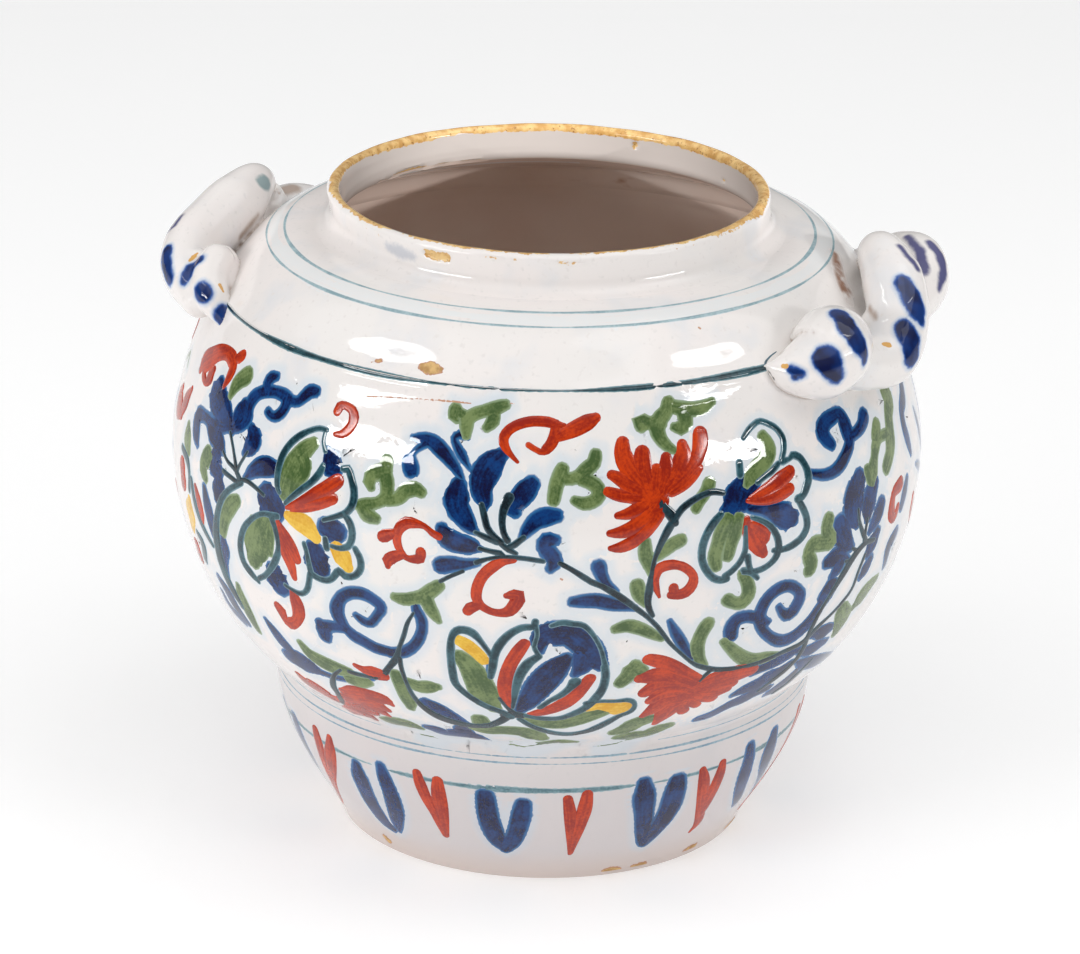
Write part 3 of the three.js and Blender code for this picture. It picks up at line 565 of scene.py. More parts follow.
# Painted flowers. Metal colours brushed on the raw glaze before the fire: cobalt blue,
# copper and iron green, yellow, iron red laid on thick, and a dark outline. Each row is one
# touch of the brush: its colour, then degrees, height and width wherever it bends or swells.
SIDE = 100.3  # degrees round to where the front's pattern is mirrored, below a handle
EDGE_DEPTH, LAYER = 0.015, 0.002  # how deep a stroke's edge is sunk, and strokes lie apart
LONGEST_STROKE = 90  # places along it; more than that is a line all round the pot
FLOWERS = """
# left top red scroll
R -60.6 131.1 2.3  -60.1 132.7 5.9  -57.5 135.7 5.3  -55.1 138.2 4  -52.2 139.5 3.2  -49.7 138.9 3.8
  -48.8 137.3 3.2  -49 134.9 2.6  -49.6 132.2 1.1
R -58.4 133.9 2.3  -58.9 131.5 1.6  -58 130.4 2.1  -56.4 129.7 1.6  -55.5 131.5 3.9  -54.9 133.7 1.9
R -49.5 139.3 1.1  -47.9 140.5 2.7  -47.2 141.4 2.5
R -67.9 121.4 2.4  -68.8 118.6 5.2  -66.8 117.3 6.3  -63.8 116.7 2.4
R -61.7 124.8 1.6  -63.2 120.6 4.7  -64 116.9 2.4
# blue leaf fan left
B -50.9 131.6 4.5  -51.2 129.6 7.5  -49.3 128.2 7.7  -46.9 126.9 6.3  -44.6 125 3.6  -43.6 123.7 1.8
B -42.1 131.1 3  -42.4 129.4 4.8  -42.8 127.2 4.9  -43.4 124.1 2.3
B -43.1 124.2 1.3  -41.5 125.8 2.2  -40.4 128.6 3.4  -40.8 130.9 3.4  -40.5 133.4 3.6
  -39.3 135.4 2.9  -37.5 136.7 2.7  -35.4 137.4 2.5  -33.1 137.3 2.9  -31.4 136.8 2.3
  -30.1 137.3 2.3  -29.2 138.8 2.8  -28.2 140.4 3.1  -27.2 140.7 2.6
B -37.5 136.7 2.7  -38.1 138.4 2.8  -37.6 140.1 2.8  -36.5 140.8 2
B -32.5 136.8 3.2  -32.6 134.6 2.8  -33.5 132.5 2.5  -34.7 131.7 2  -35.9 132.2 2.1
B -38.7 126.6 2.4  -37.8 125 5.7  -38 122.6 5  -39.1 120.3 1.5
B -50.7 122.2 3.1  -48.3 120.7 5.8  -45.8 119.2 3.7  -44.5 117.8 1.4
B -53.2 114.9 1.4  -54.2 116.5 3.5  -55.1 118.9 4.4  -55.3 121.5 4.3  -53 122.6 2.8  -49.3 122.5 3
  -46 123.2 2.3  -44.1 124.2 1.6
B -37.8 114.5 1.4  -36.4 117 3.4  -34.8 118.8 4.7  -33.1 119.6 4.8  -32.4 119.7 4.3
B -45.8 116.8 2.4  -46.4 114.9 6.4  -46.1 113.2 6.2  -44.4 112.3 2.7
B -44.7 110.2 3.7  -44.5 108.2 6  -44.4 106 4.5
S -44.5 117.8 0.9  -42.9 116.2 0.8  -40.5 115.2 1.2  -39.2 113.5 1.7
S -43.8 123.3 0.9  -41.9 119.6 0.9  -40.2 115.3 1.3
S -38.4 120.9 0.8  -39.4 117.8 0.8  -40.2 114.8 1.2
S -43.6 113.2 1.2  -41.2 112.7 1.1  -39.6 112.5 1.1  -37.9 113.9 1.1  -35.7 113.5 1  -33.2 112.3 1
G -44 137.6 4.1  -45.1 136.3 3.7  -46.2 134.2 3.3  -46.7 131.4 1.5
G -49 114.2 4.4  -49.7 112.1 4.2  -49.8 110 3.2  -48.8 108.3 1.9
G -58.6 116.9 1.6  -58 114 4.7  -56.6 111.3 2.3
O -59.9 110.1 1.6  -56.6 108.5 2.3  -55.4 105.2 1.6  -55.7 100.8 1.6
R -59.3 105.2 4.7  -59.3 104.6 4.7
R -58.9 101.8 4.7  -59 101.2 4.7
# red hook
R -22 137.7 1.8  -21.7 139 2  -20.8 139.5 1.5  -19.3 138.8 1.9  -18.7 137.3 2.3  -18.8 135.6 2
  -19.3 134.1 2  -20.2 132.8 1.6  -21.4 132.4 1
# open flower left: outlines
O -23.1 132.8 0.8  -24.6 132.7 1  -26.4 131.4 1.1  -28.3 129.2 1.5  -29.7 126.6 1.6  -30.6 123.5 1.7
  -30.9 119.8 1.8  -30.6 116.1 1.4  -30 114.6 1.1
O -23.3 132.2 0.6  -23.3 130 0.6  -22.6 127.9 0.9
O -22.5 124.2 1.2  -22.9 122.3 1.7  -24.1 119.6 1.4  -25.8 117 1.4  -27.5 114.2 1.1  -28.5 112.4 0.8
G -25.1 128.7 2.5  -26.2 127 3.8  -27.4 124.3 4.7  -28.1 121 5.9  -28.7 117.8 5  -28.9 114.6 2.7
G -27.3 125.3 3.1  -26.1 123.6 3.6  -25.9 121.4 3.2  -26.8 118.8 2.8  -27.7 116.2 1.6
B -22.2 128 1.8  -21.2 126.2 5.1  -20.8 124.3 5.1  -19.5 124.3 1.5
O -18.8 124.8 1.3  -18 125.1 1.7  -17.2 123.1 1.5  -16.4 119.9 1.7  -16.4 116.7 1.7  -17.3 114.4 1.3
  -18.9 112.8 1  -21.1 111.1 0.8
R -19.5 121.6 3.2  -21.1 119.3 3.4  -22.9 117.1 3.1  -24.9 114.5 2.6  -27.3 112 1.5  -28.2 111.3 0.8
R -19.8 117 2.3  -21.8 115.2 2.5  -24.4 113.2 2.3  -27.2 111.2 1
B -32.3 112 7  -31.6 111 9.2  -30.8 110 7.3
Y -27.9 109.3 2.2  -26.1 108.8 4  -24.1 108.1 4.8  -22.4 105.9 3
B -20.5 109.3 4.8  -19.6 109.1 6.2  -18.7 108.9 5.1
B -22.6 101.4 6  -22.3 99.6 7.9  -21.8 98.2 5.8
Y -18.5 104.2 3.9  -17.6 102.4 4.9  -16.8 100.2 3
O -17.6 114 1.2  -16.4 111.6 1.5  -16 108.6 1.5  -16.6 105.8 1.3  -18 104.7 1.1  -19.4 104.7 0.9
O -20.4 104 1.6  -20.6 106.1 1.3
O -15.4 105.4 1.2  -14.6 103 1.5  -14.6 100.2 1.4  -15.7 97.9 1.3  -17.3 97.3 1.6  -18.3 98.3 1.6
  -19.8 95.4 1.3  -21.3 94.5 1.3  -23.1 95.1 1.5  -23.6 96.5 1.5  -24 100.6 1.1  -24.5 103.1 1.1
O -23.7 95.1 1.3  -24.4 91 1.3  -25.4 88.8 1  -26.6 88.2 1.1  -28 88.6 0.8  -29.2 89.2 0.9
G -32.8 105.8 3.1  -34 102.5 7.3  -34.9 97.8 8.5  -35.9 93 4.1
G -32.2 104.8 4.9  -32.1 100.8 4.2  -31.8 97.3 1.7
G -33.8 97.6 3.8  -34.5 93 1.3
O -29.9 108.1 1.4  -31.1 107.8 1.4  -32.9 107.4 1  -35.1 105.2 1.1  -37.4 101.2 1.6  -38.9 95.6 2
  -38.7 90.8 2.3  -37.1 88.3 2.2  -35.6 86.8 1.1
O -31.1 107.2 1.6  -30.2 104.4 1.6  -29.7 99.7 1.5  -30.9 94.9 1.7  -33.2 90.2 1.1  -35.2 87.9 1
R -29.8 106.5 1.5  -28.8 104.1 3.1  -27.2 101 3.5  -26.2 98.4 2.7
R -29.6 104.7 2  -28.7 100.3 3.2  -27.5 96.1 2.8  -27 92.6 1.6
B -31.2 91.6 5.5  -31 90.3 7.9  -30.5 89.1 6.5
R -28 88.3 1.3  -27.5 85.9 3.5  -27.4 82.4 3.7  -28.5 78.8 2.5  -30.4 77.1 3.3  -31.3 78.2 2.2
  -31.5 80.2 3.2  -32 81.1 2.7
# blue scroll lower left
B -15.9 86.3 1.5  -14.9 85.2 2.2  -13.6 85.1 2  -12.2 88 2  -11.5 90.5 2.5  -12.6 92.2 2.7
  -14.4 93.3 2.9  -16.6 92.7 2.8  -18.5 90.2 2.8  -19.4 86.6 3.7  -19.1 83.7 3.5  -18.3 81.6 2.8
  -17.2 79.9 3.3  -15.6 78.8 3.2  -13.4 77.4 3.1  -10.9 77.1 2.7
B -18.3 81.3 2.2  -20.2 81.1 2.6  -21.9 80.6 3
B -23.1 80.6 3  -22.8 78.9 4.6  -22.9 77 3.6
B -36.7 74.4 1.4  -35.6 71.7 3.5  -34.2 68.3 4.4  -32.9 66.5 3
G -42.3 81.3 1.5  -42.4 77.4 3.9  -42 73 3.9  -41.6 68.6 2.3
B -49.5 79.1 2.3  -47.8 76.3 4.7  -46.7 72.2 4.7  -45 69 3.1
B -50.9 74.3 1.6  -50.2 70.2 3.1  -46.7 67.8 2.3
# far left bud and small strokes
O -54.4 104.4 1.6  -53.5 99.4 2.3  -52.4 95.9 2.3  -50.6 92.7 2.3  -48.3 89.9 1.6
R -52.7 103.5 1.6  -51.6 100.5 3.1  -50.9 97.1 3.1  -51.1 93.8 1.6
B -49.1 105.5 2  -48.2 101.3 4.2  -47.5 97.5 4.3  -47.1 93.5 2.2
Y -56.2 97.6 2.3  -56.7 93.9 7  -57.2 89.6 3.9
R -57.4 83.6 3.9  -57.7 80.5 3.9
O -54.7 89.2 1.6  -52.8 87 3.1  -54.3 81.6 2.4
O -38.5 112.8 1.2  -41.4 109.4 1.4  -43.5 105.5 1.9  -44.9 100.5 2.3  -46 94.2 3.4  -46.3 88.2 3.9
  -46 82.6 3.9  -44.9 78.2 3.9  -43.8 74.7 2.3
G -39.4 107.5 2.6  -40.9 105.3 4  -42.5 101.4 3.5  -43.8 96.4 2.8
B -43.9 93.8 2.6  -43.9 91.7 4.4  -45.2 87.5 4.3  -45.6 82.9 3.1
# middle top
G -1.7 143 2.3  -1.9 141.4 1.8  -1.3 140.6 1
G 6.2 144.9 2  4.8 144.1 2.5  3 143.2 2.2  1.5 142.3 2.3  0.5 141 2.5  0.4 139 2.3  0.5 137.4 1.5
G 4.8 143.2 1.8  4.5 141.1 2.5  3.7 139.6 1.5
G -1.3 142.6 1.7  0.2 141.7 1.7
B 0.6 137.1 1.5  -0.6 137.4 1.7  -1.3 136.4 1.3  -0.9 134.9 1.5  0.1 132.7 2  1 130.7 1
  1.5 129.6 0.5
B -7.9 135.4 1  -6.7 135.4 2.2  -5 135.1 3  -3.3 133.5 3.3  -1.7 131.2 2.5  -0.3 128.8 1.8
  0.4 127.3 1
B -5.9 134.2 1.5  -7.2 132.5 1  -8 130.4 0.8
B -7.9 129.3 3.5  -7.6 127.9 3.7
R 8.7 132 0.5  7.7 133.5 1  6.8 135.1 1.7  6.4 137.1 2  7.1 139.2 2  8.7 140.7 2  10.9 141.5 2
  13.3 141.4 2  14.8 140.7 1.7  15.8 140.7 0.7
R 14.5 141 1.7  14.4 138.7 2.2  13.9 136.6 2.2  13 135 2  12.1 134.5 1  11.3 135.1 1  10.3 136 1
R 15 138.2 2.2  17.4 139.8 3.2  19.6 141.4 3.2  20.8 142.3 2
# green sprig centre left
G -11.7 128.6 2.5  -11.7 125.9 2.8  -11.1 123.2 2.8  -11.1 120.3 2.4  -12.4 118.4 2  -14.3 117.4 2.3
  -15.6 116.9 1.5
G -11.8 126.6 2.8  -13.5 125.2 3.1  -14.1 123.1 2.5  -13.7 122 1.4
G -14.9 116.7 2.3  -13.8 115 2.8  -12.4 114.4 1.9
G -10.5 119.5 2  -9 120.6 2.5  -8 122.5 2.8  -6.6 123.3 2.7  -5.7 122.8 2
# centre blue fan
B 6.2 133.4 3  4.9 131.4 6  3.8 128.2 6.5  3.5 124.9 5  4.1 122.1 3.3  4.1 120.6 1.3
B 0 125.1 3.8  -0.1 122.9 5.9  0.1 120.3 5.4  1.1 118 4.6  2.2 115.7 3.1  3 114.6 1.3
B 10.9 126.7 3.7  10.2 125.3 4.9  9.1 123 4.5  8.2 121.1 3.7  8.7 119.9 2.2
B 14.6 119.4 3  13.2 119.1 4  11.8 118.1 3.7  10.6 115.9 2.7  9.9 114.1 1.5
B -2 114.5 2.4  -1.7 113.3 4  -0.5 111.8 4.7  1.2 111.1 4.4  2.7 110.8 3.4  3.7 110.4 1.3
B -1.7 105 4  -0.2 105.6 3.4  1.6 105.9 2.4  3.3 106.7 1.6
S 3.7 121.3 1.3  4.2 118.5 1.5  4.7 115.8 1.5  5.6 113.9 1.5  6.8 112.3 1.3
S 3 114.4 1  4.6 113.3 1.3  6.2 112.3 1.3
S 7.7 123.4 2.5  7.1 121 2  6.8 118 1.5  7.1 114.8 1.3  7.7 112.9 1.5
S 10 113.8 1.2  8.8 112 1.5  8 111.2 1.3
S 3.7 110.4 1  5.3 109.9 1  6.7 109.5 1.3  7.3 108.8 0.8
S 6.7 112 1  7.9 110.6 1.3  9 109.7 0.8
S 3.3 106.7 1.3  4.7 107.7 0.8  6.4 108.4 0.8  8.2 108.6 1  10.2 108.5 1  11.9 108.1 1  12.9 107.9 1
S 1.3 104 0.8  -0.5 102.3 0.8  -2 100.6 0.8
B 14.5 113.3 2.3  13.4 113.2 3.5  13 111.5 3.2  13.9 109.7 3.8  14.6 107.9 3.2  14 106.1 2
S 15.3 107.4 1  16.9 105.8 1  18.5 103.9 1.3  19.9 102.2 1.3
# red scroll left of fan
R -2.4 112.4 1.6  -3.5 113.2 1.3  -4.6 114.5 1  -6 114.9 1.8  -7.4 114.8 2.5  -8.4 113.3 2.3
  -8.8 111.4 1.9  -8.7 109.4 1.7  -8.2 107.4 1.4  -7.3 105.8 1.1  -6.2 105.6 1.6  -5.1 106.1 2.2
  -5 107.7 2.1
R -9.6 111.4 2  -10.7 110.6 2.8  -11 110.3 2.5
R -8 106.4 2  -9.4 105.2 2.5  -10.1 103.9 2.6  -10.1 102.6 1.1
# red hook centre
R 8.6 108.1 1.5  7.2 107.5 1.8  5.8 106 2.3  4.3 103.4 2.3  3.5 100.3 2.2  3.3 97.2 2.1  3.9 95 1.7
  5.3 93.5 1.5  6.8 93.1 1.7  8.1 93.8 2.5  9.1 96.2 2.8  9.4 98.2 3.1  8.7 98.4 2.5  7.7 98.1 1.1
R 3.6 95 1.9  2.4 93.9 2.4  2 93 2.1
# green sprig below fan
G -2.3 99.2 2.3  -3.5 97.5 2.8  -4.9 95.5 2.7  -6.5 94.5 2.6  -7.9 94 2.4  -9.1 94.2 1.5
G -4.3 95.6 2.6  -3.7 92.6 2.6  -3 90.5 2.1  -2.5 89.1 0.9
B -5.9 93.2 1.4  -5.8 91.5 2.1  -5.2 89.3 2.4  -5.1 86.4 2.2  -5.7 83.2 2.3  -7 80 2.4
  -8.8 77.8 2.9  -10.9 76.8 2.8
S -6.3 90.5 0.5  -7.4 87.2 0.8  -8.2 83.3 1  -9.2 79.3 1  -10.1 75.5 1.8  -11.7 72 1.5
  -13.4 68.6 1.8  -15.2 66.9 1.4
# lower left sprays
B -34.6 63.8 4.7  -31.9 64.1 7.4  -29.2 63.6 5.6  -27.8 63 2.8
B -27.8 63 2  -25.2 62.7 1.9  -22.2 63.2 1.7  -19 64.4 1.4  -16 66.5 1.7
G -29.2 71.2 1.8  -28 68.6 3.6  -25.7 67.2 4.7  -22.9 66.6 4.4  -20.1 66.7 2.5
S -22 66.5 0.8  -24.4 63.1 1.2  -26.3 58.2 2  -26.6 54.7 2.3  -28.1 50.6 2.3
S -20.1 66.7 1.5  -17.9 66.7 1.5  -15.8 67 1.4
G -20.9 63.5 2.8  -19 63.7 3.6  -17 64.7 2.4
R -18.3 69.6 1.4  -16.9 68.8 2.4  -15.1 68.6 4.1  -13.6 68.5 3.6
R -36.1 56.7 2.3  -35.2 54.8 5.5  -32.5 53.8 6.2  -29.7 52 4.7  -28 52.7 2.3
R -23.9 57.3 3.7  -21 58.1 6.7  -17.5 59 5.5  -15 58.7 4.3  -14.1 57.5 1.3
R -25.4 54.5 3.9  -21.8 55.3 7.7  -18 56.1 5.1  -16 54.7 2.3
R -27.6 50.8 3.1  -22.7 52.4 7.7  -18.7 53.4 5.4  -16.7 51.8 1.5
R -29.4 47.1 3.9  -24.4 48.9 6.2  -22.8 47 2.3
G -10.8 69.7 2.7  -10.4 65 3.3  -10.1 60.7 3.4  -10.3 58 1.7
G -8.8 67.7 2.7  -7.1 66.8 3.5  -5.2 67.5 3.3  -4 67.8 1.6
S -9.5 75.7 1  -9.6 72.1 1  -9.3 67.5 1.1  -8.8 63.1 1.3  -7.5 59 2.1  -5.4 56.2 3  -2.5 54.6 3.1
  0.3 54.1 2.5  3.5 54.8 2.3  5.8 56.9 2.3  7.5 59.6 2.4
B -6.7 61.2 3.5  -5 59.5 4.7  -3.2 57.3 4.4  -1.5 55.3 3.5  -0.2 54.4 1.8
G -18.2 48.7 3.9  -15.4 49.7 4.6  -12.9 49.6 4.6  -11.5 48.8 2.3
G -11.6 45.2 1.5  -9.6 45.2 2.5  -7.2 44.8 0.8
B -8.7 50 3.1  -7.4 49.6 4.6  -5.6 48.3 4.6  -2.6 48.9 6.9  -0 48.6 4.6  2.2 46.9 1.5
B -1.6 51.7 4.5  -1.5 50.3 4.9
G 2.3 57.1 3.5  2.5 55.4 4
G 0.8 53.3 2.6  2.9 52.4 3.4  5.9 53 3.8  9.2 52.6 3.3
# tulip
O 5.6 79.1 0.9  4.6 82.1 0.9  3.6 84.7 1.2  2.6 86.6 1.9  1.4 87.3 1.9  0.2 86.8 1.7  -0.6 84.5 1.3
  -0.9 81 1.6  -1 77.6 1.6  -1 73.7 1.7  -0.8 70 1.7  0.3 67.2 1.6  2 64.7 1.7  4 62.5 1.8
  6.1 61 1.8  7.7 59.2 2.3
Y -0 84.3 2.6  1.4 83.1 3.3  2.9 80.9 3.2  4.2 78.3 3  5 78.1 1.4
G 0.5 78.8 3.3  1.7 76.5 4.6  2.7 72.8 5.7  3.5 68.5 6.3  4.1 65.1 6.3  5.1 62.3 3.1
O 11.9 91 1.3  11.6 89.5 1.4  10 89.1 1.5  8.2 87.1 1.7  6.7 83.9 1.9  5.8 80.4 1.8  5.4 76.5 1.8
  5 73.2 1.3
B 5.1 77.8 1  4.8 73.8 1.3
R 10.3 84.3 2.4  9.4 81.8 2.9  8.3 78.2 2.9  7.5 74.2 3  7.1 70.1 3.1  7.3 66.3 2.8  7.8 62.7 1.2
S 6.3 65.8 1.1  7 63.7 1.1  8.1 61.2 1.6
O 12.4 80.4 1.5  11 78.4 2.1  9.8 75.1 2.2  9.1 71.4 1.8  8.6 66.8 1.3  8.2 62.8 0.8
B 12.7 82.3 1.8  12.6 85.3 4.4  13.6 87.2 6.3  15.2 87.5 6.7  17 87.2 6.6  18.5 85.4 6.8
  20.1 82.5 6.5  21.3 79 5.3  22 77.3 3.3
B 19.4 79.7 6  19.1 77.2 4.7  18.1 74.7 1.9
B 16.6 79.8 3  15.4 77.3 5.8  13.8 73.7 7  12.3 69.6 6.7  10.7 64.9 4.9  9.3 61.7 2.5
O 14.3 89.9 0.9  15.8 90.8 1.2  17.5 90.4 1.2  19 89.8 1.1  20.4 87.1 0.8  21.6 83.3 0.8
  22.3 79.5 0.8  22.7 76.9 1.3
O 11.9 90.7 1  12.2 87.1 0.7  11.8 83.5 0.8  12.4 81 0.8
O 18.2 72 2.9  17.4 70 1.7  16.1 67.6 1.5  14.2 65.4 1.1  12.8 63.1 1.2
R 20.5 73.2 2.5  19.6 70.6 2.9  18.3 67.1 3.2  16.5 64.3 3.6  14.3 62.1 3  12.1 60.8 2.3
  11.1 60.4 1.4
O 22.6 76.9 1.5  22.9 73.6 1.6  22.7 69.6 1.8  21.8 66.2 2.2  20.4 63 2  18.3 60.5 1.8
  15.9 58.9 1.5  12.8 58.9 1.5  10.3 59.9 1.4
Y 21 63 3.6  22.6 63.6 4  24.7 62.9 5.3  26.5 62.3 6.1  27.7 63.5 2.7
G 23.4 60.8 2.8  21.3 59.5 3.9  18.8 58 4.6  15.9 56.9 4.8  13.1 57.3 4.2  10.7 58.3 3
O 20.4 64.5 1.3  22.5 65 0.9  25 64.7 0.9  27.4 64.7 1.3  28.6 63 0.8  28.3 60.4 1.4  26.4 58.8 1.5
  24.7 56.6 2.1  22.8 54.3 2.4  20.7 52.7 1.9  17.8 51.9 2  14.6 52.9 1.9  11.4 55.5 1.6
  9.4 58.2 1.4
S 6.8 59.5 2.4  8.1 60.1 2.9  9.4 59.8 2.9
G 7.4 53.2 3.8  9.9 52.6 4.5  12.1 50.9 4.9  13 49.9 2.9
G 7.2 45.8 3.2  9.6 45.2 3.4  12.8 46.3 3.1  16.7 47.7 3.1  19.5 47.5 1.5
# lower right of tulip
G 23.9 88.5 1.9  25.5 89.2 2.7  27.4 88.1 2.6  29.3 86.2 2  31 84.4 1.1
G 28.4 74.8 3  27.2 75.7 4  26.6 73.5 3.4  25.6 71.3 2.9
G 27.4 76.9 2.2  27.2 75.7 2.5
G 26.9 51.7 2.9  28.6 52.8 4.7  30.2 55.1 4.9  32.4 56.2 3.6  33.8 56.6 1.8
G 28.4 48.9 3.1  30.6 48.8 5.4  33.4 49 4.6  35.4 50.8 4.6  37 51.7 3.1
G 25.7 45.2 1.8  28.4 45.5 2.9  30.8 46.4 2.3
# red carnation bottom
R 29.5 78.2 2.9  31.6 76.8 3.5  33.8 74.6 3.7  36.1 71.6 3.8  38.7 68.8 3.3
R 28.6 72.1 2.7  30.4 72.4 4.6  32.7 71.9 5.1  35.4 69.8 5  38.3 67.2 4.4
R 30 67 3.4  31.8 68.7 5.1  33.8 68.5 5.7  36.4 67.5 5.6  39.4 65.1 4
R 31.4 63.8 2.8  33.2 65.5 5.5  35.7 65.6 6.2  38.5 63.9 5.3
R 30.8 57.9 1.6  32.7 60.5 4.6  34.4 62.7 6  36.9 63 6
R 34.1 54 1.8  34.8 57.1 4.9  35.9 60.7 6.3  37.8 62 5.3
R 38.6 57.5 2.7  37 60.8 3.1  36.1 63.3 2.6
R 40.7 59.1 2.2  38.7 61.7 3.4  37 64.1 3.1
# daisy
R 24.9 136.2 2.8  24.8 134.2 3.5  25.3 131.6 4  26.3 128.9 3.5  27.5 126.4 3
R 27.9 133.6 3.3  27.8 131.3 3.8  28 128.5 3.8  28.4 125.8 3.6
R 23 128.9 2  24.2 127.9 2.7  25.6 126.1 3  27.1 124.8 3
R 22.3 125 2  23.8 124.1 2.5  25.5 123.5 2.5  27.3 123.1 3
R 29.9 129.4 2.6  29.6 127.1 3.6  29.4 124.7 4.7
R 31.6 132 2.4  31.5 129.7 3.4  31.2 127.1 3.7  30.5 124.6 3.7
R 34.4 134.6 2.4  34.4 132.5 3.7  33.8 130 4.2  32.8 127.6 3.7  31.4 125.2 3.6
R 37.6 136.6 3.3  37.4 134.3 3.5  36.7 131.6 3  35.5 129.2 3.2  33.9 126.9 3.6  32 124.8 3.1
R 36.8 128.7 1.6  35.7 127.3 2.4  34 125.2 2.3  32.1 123.8 2
R 23.7 119.1 1.3  25.2 119.4 2.3  26.7 120.3 3.1  28.2 121.8 4.1  29.5 123.3 4.1
R 22.5 114.8 1.3  23.9 114.9 2.3  25.7 115.7 3.1  27.5 117.5 3.6  29.1 120 3.6  30.1 122.2 3.1
R 22.6 111 1  23.9 111.1 2.1  25.7 112.2 2.6  27.4 114.3 2.9  29.1 117 2.6  30.3 119.8 2.4
  30.8 122.1 2.1
R 28 124.4 4  28.8 122.4 4.5  29.8 123.5 3.6
K 30.2 121.5 2.3  30.9 119.9 2.5  31.8 118.1 2.8  32.3 116.3 2
# stem of the daisy and right flower
S 40.3 121.9 1.2  38.6 122.6 1.5  37 122.2 1.5  35.2 121.1 1.6  33.5 119.5 1.6  32.2 117 1.6
  31.2 114.7 1.9  30.3 112.1 1.6  29.5 109.2 1.3  29 106.9 1.1  28.8 104 1.3  28.6 100.8 1.9
  28.3 97.7 1.9  28.4 94.6 1.5  29.2 91.6 1
G 38.1 124.6 2.5  37.4 122.8 2.2  36.3 120.9 2.2  35.7 119.3 1.9
G 33 111.6 2.4  31.8 110.8 2.4  30.4 109.3 2.2  29.3 107.9 1.6
G 27.7 111.7 2.1  27.7 109.2 2.6  28.2 106.5 2.3  28.6 104 1.3
G 26.6 100.5 2.8  27 97.9 2.5  28 95.5 1.5
R 30 96.9 0.5  29.5 99.2 1.3  29.1 102 2.1  29.7 104.6 2.3  31.2 105.5 2.2  32.8 105.1 1.8
  34.1 103.8 1.8  35.1 101.7 1.8  35 99.2 2.4  34.1 97.4 2.5  32.9 96.9 2.1  31.8 97.1 1.7
R 32.1 99 2  32.2 98.1 2
# main stem
S 19.9 102.2 1.3  21.4 101 1.3  23 99.2 1.6  24.8 96.8 1.6  26.5 94.3 1.3  28.4 91.4 1  30.1 88.2 1
  31.2 85.6 1  32.7 82.2 0.8  34.6 78.9 0.8  36.8 75.4 0.9  38.6 73.5 1.4  41.4 71.6 1.5
  44.6 70.4 1.8  47.8 70 1.9  51.1 70.5 1.6  54.7 71.4 1.7  58.3 72.1 1.8  59.9 73.2 2.5
B 20.9 106.2 3.2  21.3 104 2.5  22.1 101.5 2  23.3 99.5 1.5
B 17.4 96.8 2.3  19.1 97 3.1  20.9 96.9 3.4  22.9 95.9 3.1  24.9 95.1 2.3  26.2 94.4 1.4
B 32 89.3 1  32.9 86.4 2  34.1 83.1 2.3  35.4 79.6 2  36.7 76.7 1.3
G 38.1 86.8 3.1  37.4 84 3  37.1 80.4 3  37.9 76.3 2.3  39.1 73.7 1.5
G 41.7 80.5 1.5  43.3 77.7 2.1  45.7 74.2 2.9  48.1 71.9 3.6  50.7 71.4 3.4  53.2 71.1 2
# green sprig left of the daisy
G 20.6 133.7 2.2  20.3 131.9 2.5  19.1 130.3 2.7  18.2 128.5 2.5  19.6 127.5 2.5  20.8 126 2.5
  20.9 124.1 2.5  20 122.7 2.3  18.7 122.3 2.2  17.5 123 1.5
G 17.9 128.7 2.2  16.4 128.2 2.2  15.3 129.4 2
G 15.5 130.4 2.5  14.9 128 2.7  14.5 125.6 2.5  14.3 123.3 2.2
# green sprig top
G 32.9 144.7 2.4  32.4 142.8 2.6  31.1 140.9 3.1  30.6 138.6 2.9  31.1 136.3 2.3  32.1 134.5 1.8
  33.2 133.4 1
G 31.1 140.4 3  29.4 140.4 2.5  27.9 141.3 2.7  28.1 140.1 2.6
G 32.7 144.1 2  34.7 143.1 2.8  36.7 142.5 2.7  38.7 142.6 2.5  40.4 143.5 1.3
G 35.3 142.1 2.7  35.4 139.8 2.9  34.4 138.5 2.5  33.5 138.9 1.5
# open flower right
O 45 134 0.8  46.1 135.5 1.1  47.4 136.6 1.1  48.6 137 1  50.2 135.8 1.1  51.5 134.2 1.2
  52.3 131.8 1.3  52.1 129.2 1.3  51.4 127 1.3
O 51.5 126.4 1.6  52.8 126.5 0.8  53.5 127.2 1.5  54.8 126.3 1.5  55.7 124 1.6  56.1 121.1 2.1
  55.4 118.6 2.1  54.4 116.7 1.6  53.4 116.3 1.7
O 50.5 126 1.2  49.2 124.8 1.4  47.6 123.8 1.1  46.4 122.9 1.1
O 43.6 128.3 1.5  43.5 125.5 1.5
G 48.6 133.2 2.4  49.1 131.1 3.4  49 129.2 3.7  48 127.3 3.5  46.6 126.1 3.7  45.3 124.5 3.2
  44.5 123 1.7
B 43.9 124.4 2.9  43.2 122.4 5.2  42.3 120.2 6.3  41.5 118.2 5.1  40.6 117.2 3.3
B 46.1 122.8 2  44.8 121.2 4.1  43.6 118.6 4.1
R 52.5 123.4 2.9  50.6 122.1 3.7  48.6 120.8 3.3  46.7 119.9 2.7  44.9 119.2 1.6
R 52.1 119.3 2.5  50.3 118.7 3  48 118.2 2.6  45.9 118.4 1.8  44.3 118.9 1
B 44.7 116.8 2  46.4 116 2.5  48.3 114.8 3.8  50.1 113.5 6.1  51.4 112.2 6  52.1 111.9 3.6
O 53.4 116.1 1.2  54.2 113.7 1.6  54.8 110.9 1.7  54.8 108.3 1.8  53.8 106 1.8  52 104.6 1.7
  50.2 104.2 1.2  48.5 104.6 0.9
O 44.8 114.5 0.8  46.4 113.2 1  48 111.1 1.3  49 108.4 1.5  49.4 105.6 1.7  49.1 103 1.8
